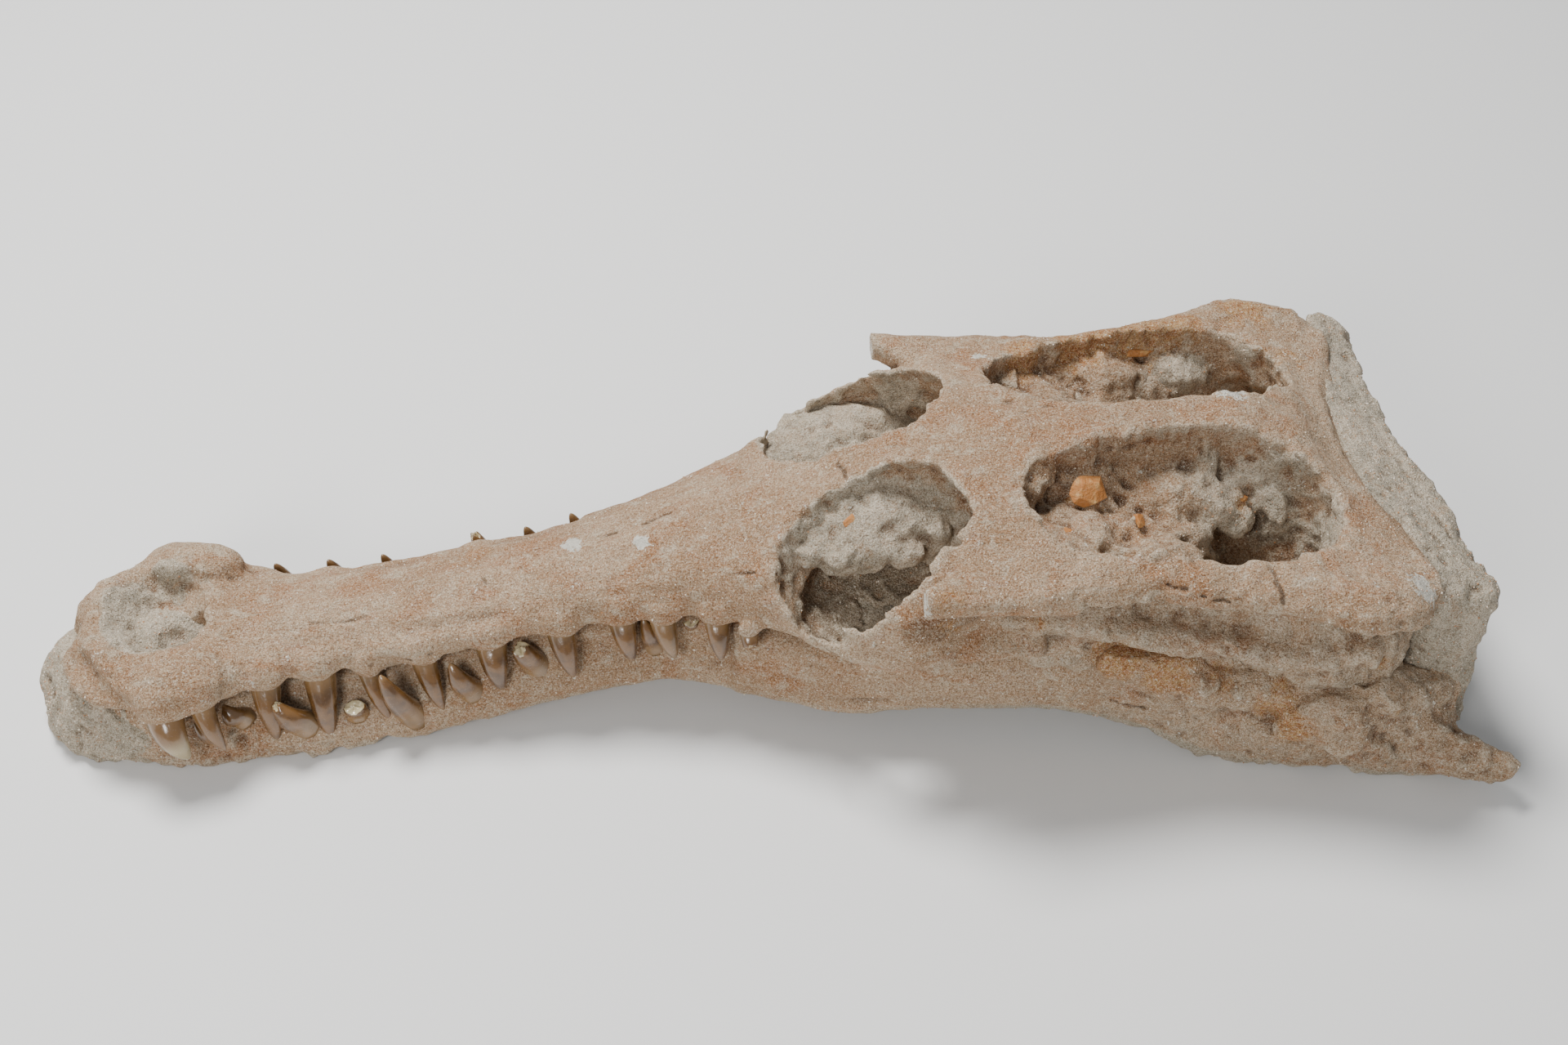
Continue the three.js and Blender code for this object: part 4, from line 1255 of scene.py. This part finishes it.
def rock_piece(name, low, high, make, seed, lumps=1.0, amount=1.0, coarser=1):
    """A lump of rock: make(block) gives its form, which is roughened and fitted to the bone.
    amount is the rock's share of its colour. Hidden rock has coarser cubes and isn't fitted."""
    block = Block(low, high, cube_size() * coarser)
    field = make(block)
    coarse, middle = block.noise(16, seed), block.noise(7, seed + 1)
    fine, crumbs = block.noise(2.5, seed + 2), np.abs(block.noise(5, seed + 3)) - 0.6
    field += (1.5 * coarse + 0.8 * middle + 1.0 * crumbs) * lumps + 0.4 * fine
    if coarser == 1:
        for other, bone in (cranium_field()[:2], mandible_field()[:2]):
            field = np.maximum(field, -(block.read(other, bone) + ROCK_SINK))
    field = np.maximum(field, -block.z)
    rock = np.full(block.shape, amount, np.float32)
    skin_pieces(block, field, rock, (), (f"{name}_skin",), material_of("rock"), [name])


def snout_rock(block):
    skewed = (block.x + 0.1 * block.y, block.y, block.z)
    return block.ball((-321, 3, 10), (42, 46, 31), skewed)


def slab_field(block, outline, top, foot):
    """A slab between two heights, inside an outline seen from above."""
    x, y = (np.broadcast_to(v[:, :, 0:1], (*block.shape[:2], 1)) for v in (block.x, block.y))
    inside = np.zeros(x.shape, bool)
    away = np.full(x.shape, 1e6, np.float32)
    for a, b in zip(outline, outline[1:] + outline[:1]):
        dx, dy = b[0] - a[0], b[1] - a[1]
        t = np.clip(((x - a[0]) * dx + (y - a[1]) * dy) / (dx * dx + dy * dy), 0, 1)
        away = np.minimum(away, np.hypot(x - a[0] - t * dx, y - a[1] - t * dy))
        crosses = ((a[1] > y) != (b[1] > y)) & (x < dx * (y - a[1]) / (dy or 1e-9) + a[0])
        inside ^= crosses
    wall = np.where(inside, -away, away)
    field = -smooth_min(-(block.z - top(block.x, block.y)), -(foot - block.z), 2)
    return -smooth_min(-wall, -field, 9) + np.zeros(block.shape, np.float32)


def rear_rock(block):
    outline = [
        (258, -70), (279, -97), (298, -98), (311, -92), (314, -80), (308, -60), (305, -15),
        (298, 14), (296, 56), (297, 100), (288, 107), (279, 102), (258, 70),
    ]
    field = slab_field(block, outline, lambda x, y: 113.5 - 0.26 * (x - 256), 10)
    field = block.soften(field, REAR_ROCK_SOFTNESS)
    low = step(95 - block.z, 0, 40) + step(np.abs(block.y), 70, 110)
    field += (2.2 * block.noise(38, 61) + 1.6 * (np.abs(block.noise(15, 62)) - 0.6)) * (0.35 + low)
    block.ridge(field, [(284, 60, 106), (287, 10, 105), (292, -30, 104), (300, -66, 101)], 1.2, -1.6)
    block.ridge(field, [(270, 74, 110), (272, -20, 109), (284, -76, 106)], 4, 1.2)
    return field


def throat_rock(block):
    def section(x, turn):
        width = jaw_width(x) - ramus_thickness(x) + 2
        return oval(turn, 0, width, bite_line(x), jaw_floor(x) + 9, 36, 7, 5)

    return block.loft(CHIN_BACK - 6, TABLE_BACK, section)


def naris_rock(block):
    fill = block.ball((-303, 0, 32), (27, 28, 20))
    pit = block.ball((-285, -8, 52), (13, 14, 13))
    return smooth_cut(fill, pit, 5)


# The rock in the eye openings: centre and radii on each side, and the lumps along the left one's
# broken edge.
ORBIT_ROCK = {LEFT: ((38, -8, 94), (47, 28, 21)), RIGHT: ((30, 60, 70), (55, 42, 26))}
ORBIT_LUMPS = ((4, -26, 94), (20, -33, 97), (38, -29, 96), (50, -34, 95), (66, -24, 100))
ORBIT_ROCK_SINK = 3  # how far that rock runs into the edge of the opening


def orbit_rock(side):
    def make(block):
        grown = orbit_field(block, side) - ORBIT_ROCK_SINK
        field = -smooth_min(-block.ball(*ORBIT_ROCK[side]), -grown, 4)
        if side == LEFT:
            for lump in ORBIT_LUMPS:
                block.blob(field, lump, (8, 6, 6), 4)
            field = smooth_cut(field, block.ball((36, -46, 74), (44, 36, 15)), 4)
        return field

    return make


CHEEK_MIDDLE = 74  # the height at which the cheek rock is widest
SECOND_BAR = [
    (92, 68, 84), (112, 74, 86), (135, 78, 84), (161, 82, 82), (190, 89, 78), (215, 98, 78),
    (245, 104, 84),
]


def cheek_rock(side):
    """The rock between the table and the jaw, with the second bar of bone that runs in it."""
    def section(x, turn):
        width, edge, lip = table_width(x), table_edge(x), ramus_top(x) - 4
        grow = np.sqrt(np.clip((x - 88) / 34, 0.02, 1))
        y = side * (width - 27 - 10 * (1 - grow))
        top = CHEEK_MIDDLE + (edge - 18 - CHEEK_MIDDLE) * grow
        return oval(turn, y, 15 * grow, top, lip, CHEEK_MIDDLE, 2.6, 5)

    def make(block):
        field = block.loft(90, 272, section)
        bar = on_side(SECOND_BAR, side)
        block.rod(field, bar, (6.5, 7.5), 6)
        block.ridge(field, [(x, y * 1.02, z + 13) for x, y, z in bar], 5, -3.5)
        block.ridge(field, [(x, y, z - 13) for x, y, z in bar], 5, -2.5)
        block.rod(field, [(256, side * 100, 88), (260, side * 101, 62)], (3, 2.5), 3)
        return field

    return make


class SKULL_OT_rocks(bpy.types.Operator):
    """Models the rock round the snout, behind the table, in the throat and in the openings"""

    bl_idname = "skull.rocks"
    bl_label = "Rocks"

    def execute(self, context):
        # Name, two corners of its block, form, seed and lumpiness.
        rock_piece("snout_rock", (-370, -56, -4), (-262, 60, 52), snout_rock, 31, 0.7)
        rock_piece("rear_rock", (244, -108, 4), (324, 118, 122), rear_rock, 36, 0.3)
        rock_piece("throat_rock", (14, -96, -2), (292, 96, 70), throat_rock, 41, coarser=2)
        rock_piece("naris_rock", (-336, -34, 30), (-264, 38, 62), naris_rock, 46, 0.35)
        for side, name, seed in ((LEFT, "left", 51), (RIGHT, "right", 56)):
            low, high = sorted((side * 48, side * 122))
            box = (80, low, 44), (284, high, 112)
            rock_piece(f"cheek_rock_{name}", *box, cheek_rock(side), seed, 0.6, 0.5)
            low, high = sorted((side * -16, side * 92))
            box = (-18, low, 50), (98, high, 122)
            rock_piece(f"orbit_rock_{name}", *box, orbit_rock(side), seed + 10, 0.9, 0.75)
        return {"FINISHED"}


# ---------------------------------------------------------------- geometry nodes

class Nodes:
    """A geometry node tree with named inputs, and a mesh made by running it."""

    def __init__(self, name, inputs):
        self.tree = bpy.data.node_groups.new(name, "GeometryNodeTree")
        interface = self.tree.interface
        interface.new_socket(name="Geometry", in_out="OUTPUT", socket_type="NodeSocketGeometry")
        self.keys = {}
        for label, kind in {"Geometry": "Geometry", **inputs}.items():
            socket = interface.new_socket(name=label, in_out="INPUT", socket_type=f"NodeSocket{kind}")
            self.keys[label] = socket.identifier
        self.start = self.tree.nodes.new("NodeGroupInput").outputs

    def add(self, kind, inputs=None, output=0, **settings):
        node = self.tree.nodes.new(kind)
        for key, value in settings.items():
            setattr(node, key, value)
        for key, value in (inputs or {}).items():
            if isinstance(value, bpy.types.NodeSocket):
                self.tree.links.new(value, node.inputs[key])
            else:
                node.inputs[key].default_value = value
        return node.outputs[output]

    def named(self, name, kind="FLOAT"):
        return self.add("GeometryNodeInputNamedAttribute", {"Name": name}, data_type=kind)

    def finish(self, geometry, material):
        """Realizes the instances, gives them their material and ends the tree."""
        solid = self.add("GeometryNodeRealizeInstances", {"Geometry": geometry})
        dressed = self.add("GeometryNodeSetMaterial", {"Geometry": solid, "Material": material})
        end = self.tree.nodes.new("NodeGroupOutput")
        self.tree.links.new(dressed, end.inputs[0])

    def run(self, name, mesh, values):
        """The plain mesh object that the tree makes of a mesh."""
        obj = bpy.data.objects.new(name, mesh)
        bpy.context.scene.collection.objects.link(obj)
        modifier = obj.modifiers.new("shape", "NODES")
        modifier.node_group = self.tree
        for label, value in values.items():
            modifier[self.keys[label]] = value
        graph = bpy.context.evaluated_depsgraph_get()
        plain_mesh = bpy.data.meshes.new_from_object(obj.evaluated_get(graph))
        obj.modifiers.clear()
        obj.data = plain_mesh
        plain_mesh.name = name
        if not plain_mesh.polygons:
            raise RuntimeError(f"{name} came out empty")
        return obj


CROWN_ROWS, CROWN_ROOT, CROWN_BOW = 16, 0.34, 0.42


def crown_object(name, sides, cut):
    """A unit crown along Z with its root below 0, bowed toward +Y. cut is where it is broken."""
    heights = np.concatenate(
        [np.linspace(-CROWN_ROOT, 0, 4)[:-1], 1 - np.linspace(1, 0, CROWN_ROWS) ** 1.6]
    )
    random = np.random.default_rng(3)
    points, along, broken = [], [], []
    for height in heights:
        for k in range(sides):
            angle = 2 * math.pi * k / sides
            edge = cut + 0.05 * math.sin(3 * angle) * (cut < 1)
            t = min(height, edge)
            inward = 1 - 0.9 * max(0, height - edge) / max(1 - edge, 1e-6)
            inside = min(max(t, 0), 0.998)
            radius = math.sqrt(1 - inside**2.6) * (1 - 0.40 * inside) * inward
            radius *= 1 + 0.03 * math.cos(2 * angle) + 0.015 * math.cos(9 * angle)
            bow = CROWN_BOW * math.sin(math.pi * min(max(t, 0), 1))
            chip = 0.05 * random.random() if height > edge else 0
            points.append((radius * math.cos(angle), radius * math.sin(angle) + bow, t - chip))
            along.append(t)
            broken.append(float(height > edge))
    faces = []
    for row in range(len(heights) - 1):
        for k in range(sides):
            a, b = row * sides + k, row * sides + (k + 1) % sides
            faces.append((a, b, b + sides, a + sides))
    last = (len(heights) - 1) * sides
    faces.append(tuple(range(sides))[::-1])
    faces.append(tuple(last + k for k in range(sides)))
    mesh = bpy.data.meshes.new(name)
    mesh.from_pydata(points, [], faces)
    for key, value in (("along", along), ("broken", broken)):
        mesh.attributes.new(key, "FLOAT", "POINT").data.foreach_set("value", value)
    mesh.shade_smooth()
    return bpy.data.objects.new(name, mesh)


def tooth_points(name, teeth):
    """A mesh of points, one for each tooth, that carries its turn, its size and its kind."""
    mesh = bpy.data.meshes.new(name)
    mesh.from_pydata([to_frame(np.array(tooth["root"])).tolist() for tooth in teeth], [], [])
    turns, sizes, kinds, tints = [], [], [], []
    random = np.random.default_rng(5)
    for tooth in teeth:
        axis = Vector((tooth["lean"], tooth["side"] * tooth["splay"], tooth["upright"])).normalized()
        outward = Vector((0, tooth["side"], 0))
        outward = (outward - axis * outward.dot(axis)).normalized()
        across = outward.cross(axis)
        turns.append(Matrix((across, outward, axis)).transposed().to_euler())
        radius = tooth["radius"] / 1000
        sizes.append((radius, radius * 0.9, tooth["length"] / 1000))
        kinds.append(tooth["kind"])
        tints.append(tooth["tint"] + 0.3 * random.random())
    for key, value in (("turn", turns), ("size", sizes)):
        flat = [number for vector in value for number in vector]
        mesh.attributes.new(key, "FLOAT_VECTOR", "POINT").data.foreach_set("vector", flat)
    mesh.attributes.new("kind", "INT", "POINT").data.foreach_set("value", kinds)
    mesh.attributes.new("tint", "FLOAT", "POINT").data.foreach_set("value", tints)
    return mesh


def tooth_tree(kinds):
    """Puts a crown on each point: one of several kinds, turned and sized by the point."""
    inputs = {f"Crown {k}": "Object" for k in range(kinds)}
    nodes = Nodes("tooth_row", {**inputs, "Material": "Material"})
    spots = nodes.add("GeometryNodeMeshToPoints", {"Mesh": nodes.start["Geometry"]})
    turn = nodes.add("FunctionNodeEulerToRotation", {0: nodes.named("turn", "FLOAT_VECTOR")})
    size, kind = nodes.named("size", "FLOAT_VECTOR"), nodes.named("kind", "INT")
    joined = nodes.tree.nodes.new("GeometryNodeJoinGeometry")
    for k in range(kinds):
        chosen = nodes.add(
            "FunctionNodeCompare", {2: kind, 3: k}, data_type="INT", operation="EQUAL"
        )
        crown = nodes.add("GeometryNodeObjectInfo", {"Object": nodes.start[f"Crown {k}"]}, "Geometry")
        inputs = {
            "Points": spots, "Selection": chosen, "Instance": crown, "Rotation": turn,
            "Scale": size,
        }
        row = nodes.add("GeometryNodeInstanceOnPoints", inputs)
        nodes.tree.links.new(row, joined.inputs[0])
    nodes.finish(joined.outputs[0], nodes.start["Material"])
    return nodes


class SKULL_OT_teeth(bpy.types.Operator):
    """Makes the crowns of the upper and the lower teeth"""

    bl_idname = "skull.teeth"
    bl_label = "Teeth"

    def execute(self, context):
        sides = context.scene.skull_shape.tooth_sides
        crowns = [crown_object(f"crown_{k}", sides, cut) for k, cut in enumerate(CROWN_CUTS)]
        nodes = tooth_tree(len(crowns))
        values = {f"Crown {k}": crown for k, crown in enumerate(crowns)}
        values["Material"] = material_of("tooth")
        rows = (
            ("upper_teeth", True, "bone", "cranium"),
            ("lower_teeth", False, "jaw_bone", "mandible"),
        )
        for name, upper, slot, node in rows:
            teeth = [tooth for tooth in tooth_places() if tooth["upper"] == upper]
            obj = nodes.run(name, tooth_points(name, teeth), values)
            finish_piece(obj, [node])
        for crown in crowns:
            bpy.data.objects.remove(crown)
        return {"FINISHED"}


GRAIN_FLOOR = 0.002  # metres above what the skull lies on, below which no grain is set


def grain_tree():
    """Strews small stones over a surface, each turned and sized at random."""
    inputs = {
        "Surface": "Object", "Per square metre": "Float", "Smallest": "Float", "Largest": "Float",
        "Seed": "Int", "Material": "Material",
    }
    nodes = Nodes("grains", inputs)
    start = nodes.start
    seed = start["Seed"]
    surface_mesh = nodes.add("GeometryNodeObjectInfo", {"Object": start["Surface"]}, "Geometry")
    where = {"Mesh": surface_mesh, "Density": start["Per square metre"], "Seed": seed}
    spots = nodes.add("GeometryNodeDistributePointsOnFaces", where)
    stone = nodes.add("GeometryNodeMeshIcoSphere", {"Radius": 1.0, "Subdivisions": 1})
    full = {"Min": (0, 0, 0), "Max": (6.28, 6.28, 6.28), "Seed": seed}
    turn = nodes.add("FunctionNodeRandomValue", full, data_type="FLOAT_VECTOR")
    turn = nodes.add("FunctionNodeEulerToRotation", {0: turn})
    span = {2: start["Smallest"], 3: start["Largest"], "Seed": seed}
    size = nodes.add("FunctionNodeRandomValue", span, 1, data_type="FLOAT")
    even = nodes.add("ShaderNodeCombineXYZ", {"X": size, "Y": size, "Z": size})
    height = nodes.add("ShaderNodeSeparateXYZ", {0: nodes.add("GeometryNodeInputPosition")}, "Z")
    clear = nodes.add("FunctionNodeCompare", {0: height, 1: GRAIN_FLOOR}, operation="GREATER_THAN")
    inputs = {
        "Points": spots, "Selection": clear, "Instance": stone, "Rotation": turn, "Scale": even,
    }
    nodes.finish(nodes.add("GeometryNodeInstanceOnPoints", inputs), start["Material"])
    return nodes


# Loose chips of bone in the openings: centre, half sizes, turn about Z and tilt about X.
CHIPS = (
    ((133, -26, 120.5), (10, 7.5, 3.2), 0.3, 0.65), ((154, -40, 113), (4, 3.4, 2.4), 1.1, 0.4),
    ((26, -22, 108), (5, 3.4, 2.0), 0.6, 0.6), ((-2, -15, 106), (3.2, 2.2, 1.8), 0.2, 0.3),
    ((205, -22, 106), (7, 3, 1.8), 2.6, 0.7), ((190, -10, 122), (2.2, 4.0, 7.0), 0.2, 0.1),
    ((150, 22, 124), (6, 3.5, 2.0), 0.9, 0.3), ((182, 78, 112), (8, 2.6, 3.4), 0.1, 0.2),
    ((228, 30, 108), (4, 3, 2.2), 1.7, 0.4), ((118, -50, 117), (5, 4, 1.8), 0.8, 0.2),
)
CHIP_POWER = 2.4  # 2 makes the corners of a chip lie on a ball, more makes it squarer


class SKULL_OT_chips(bpy.types.Operator):
    """Makes the angular orange and yellow chips of bone that stick in the rock"""

    bl_idname = "skull.chips"
    bl_label = "Chips"

    def execute(self, context):
        random = np.random.default_rng(17)
        shape = bmesh.new()
        for centre, sizes, turn, tilt in CHIPS:
            place = Matrix.Translation(to_frame(np.array(centre, float)).tolist())
            place = place @ Matrix.Rotation(turn, 4, "Z") @ Matrix.Rotation(tilt, 4, "X")
            corners = random.uniform(-1, 1, (18, 3))
            corners /= (np.abs(corners) ** CHIP_POWER).sum(1)[:, None] ** (1 / CHIP_POWER)
            points = [
                shape.verts.new(place @ Vector([c * size / 1000 for c, size in zip(corner, sizes)]))
                for corner in corners.tolist()
            ]
            hull = bmesh.ops.convex_hull(shape, input=points)
            inner = [v for v in hull["geom_interior"] if isinstance(v, bmesh.types.BMVert)]
            bmesh.ops.delete(shape, geom=inner, context="VERTS")
        bmesh.ops.recalc_face_normals(shape, faces=shape.faces)
        mesh = bpy.data.meshes.new("bone_chips")
        shape.to_mesh(mesh)
        shape.free()
        mesh.materials.append(material_of("chip"))
        obj = bpy.data.objects.new("bone_chips", mesh)
        context.scene.collection.objects.link(obj)
        finish_piece(obj, ["cranium"])
        return {"FINISHED"}


class SKULL_OT_grains(bpy.types.Operator):
    """Strews sand grains and crumbs over the bone and the rock"""

    bl_idname = "skull.grains"
    bl_label = "Grains"

    def execute(self, context):
        shape = context.scene.skull_shape
        nodes = grain_tree()
        surfaces = [(name, "bone", "cranium", 1.0) for name in CRANIUM_PIECES]
        surfaces += [(name, "jaw_bone", "mandible", 1.2) for name in JAW_PIECES]
        for node, share in (("snout_rock", 4.0), ("rear_rock", 3.0), ("naris_rock", 6.0)):
            surfaces.append((f"{node}_skin", "rock", node, share))
        for seed, (surface_name, slot, node, share) in enumerate(surfaces):
            values = {
                "Surface": bpy.data.objects[surface_name], "Smallest": shape.grain_smallest,
                "Largest": shape.grain_largest, "Seed": seed + 1, "Material": material_of("grain"),
                "Per square metre": shape.grains * share * 1.0,
            }
            obj = nodes.run(f"grains_{surface_name}", bpy.data.meshes.new("grains"), values)
            finish_piece(obj, [node])
        return {"FINISHED"}


# The stage is set out in the frame's own coordinates. The camera's target, distance, lens and
# sensor are in mm, and its angles in degrees.
CAMERA_TARGET, CAMERA_DISTANCE = (20.5, 30, 60), 980
CAMERA_ELEVATION, CAMERA_AZIMUTH, CAMERA_LENS, CAMERA_SENSOR = 44, -6, 45.94, 36
# The floor and the lights are in metres. Half the floor's side is given.
FLOOR_HALF = 6.0
LIGHT_TARGET, LIGHT_SIZE = (0, 0, 0.05), 0.7
KEY_PLACE, FILL_PLACE = (-0.45, 0.62, 1.75), (-0.8, -1.4, 1.1)
SKY_COLOUR, SKY_STRENGTH = (0.9, 0.95, 1.0, 1), 0.33


def aim(obj, target):
    direction = Vector(target) - obj.location
    obj.rotation_euler = direction.to_track_quat("-Z", "Y").to_euler()


def area_light(name, place, strength):
    data = bpy.data.lights.new(name, "AREA")
    data.shape, data.size, data.energy = "DISK", LIGHT_SIZE, strength
    light = bpy.data.objects.new(name, data)
    light.location = place
    bpy.context.scene.collection.objects.link(light)
    aim(light, LIGHT_TARGET)


class SKULL_OT_stage(bpy.types.Operator):
    """Lays the pale floor, sets the soft studio light and the camera"""

    bl_idname = "skull.stage"
    bl_label = "Stage"

    def execute(self, context):
        scene = context.scene
        settings = scene.skull_stage
        mesh = bpy.data.meshes.new("floor")
        signs = ((-1, -1), (1, -1), (1, 1), (-1, 1))
        corners = [(x * FLOOR_HALF, y * FLOOR_HALF, 0) for x, y in signs]
        mesh.from_pydata(corners, [], [(0, 1, 2, 3)])
        mesh.materials.append(plain_material("floor_paper", settings.floor, 0.7))
        floor = bpy.data.objects.new("floor", mesh)
        scene.collection.objects.link(floor)
        area_light("key_light", KEY_PLACE, settings.key_power)
        area_light("fill_light", FILL_PLACE, settings.fill_power)
        world = bpy.data.worlds.new("studio")
        world.use_nodes = True
        sky = world.node_tree.nodes["Background"]
        sky.inputs["Color"].default_value = SKY_COLOUR
        sky.inputs["Strength"].default_value = SKY_STRENGTH
        scene.world = world
        camera = bpy.data.objects.new("camera", bpy.data.cameras.new("camera"))
        camera.data.lens, camera.data.sensor_width = CAMERA_LENS, CAMERA_SENSOR
        up, turn = math.radians(CAMERA_ELEVATION), math.radians(CAMERA_AZIMUTH)
        back = (math.sin(turn) * math.cos(up), -math.cos(turn) * math.cos(up), math.sin(up))
        target = Vector(CAMERA_TARGET) / 1000
        camera.location = target + Vector(back) * CAMERA_DISTANCE / 1000
        scene.collection.objects.link(camera)
        aim(camera, target)
        scene.camera = camera
        return {"FINISHED"}


class SKULL_PT_panel(bpy.types.Panel):
    """A button for each step of the work, and the settings"""

    bl_idname = "SKULL_PT_panel"
    bl_label = "Fossil skull"
    bl_space_type = "VIEW_3D"
    bl_region_type = "UI"
    bl_category = "Skull"

    def draw(self, context):
        for operator in STEPS:
            self.layout.operator(operator.bl_idname)
        scene = context.scene
        for group in (scene.skull_shape, scene.skull_colours, scene.skull_stage):
            box = self.layout.box()
            for key in group.bl_rna.properties.keys():
                if key not in {"rna_type", "name"}:
                    box.prop(group, key)


GROUPS = (SkullShape, SkullColours, StageSettings)
STEPS = (
    SKULL_OT_cranium, SKULL_OT_mandible, SKULL_OT_rocks, SKULL_OT_teeth, SKULL_OT_chips,
    SKULL_OT_grains, SKULL_OT_stage,
)


def register():
    for item in (*GROUPS, *STEPS, SKULL_PT_panel):
        bpy.utils.register_class(item)
    bpy.types.Scene.skull_shape = PointerProperty(type=SkullShape)
    bpy.types.Scene.skull_colours = PointerProperty(type=SkullColours)
    bpy.types.Scene.skull_stage = PointerProperty(type=StageSettings)


def unregister():
    del bpy.types.Scene.skull_stage
    del bpy.types.Scene.skull_colours
    del bpy.types.Scene.skull_shape
    for item in reversed((*GROUPS, *STEPS, SKULL_PT_panel)):
        bpy.utils.unregister_class(item)


def main():
    register()
    bpy.ops.skull.cranium()
    bpy.ops.skull.mandible()
    bpy.ops.skull.rocks()
    bpy.ops.skull.teeth()
    bpy.ops.skull.chips()
    bpy.ops.skull.grains()
    bpy.ops.skull.stage()


if __name__ == "__main__":
    main()
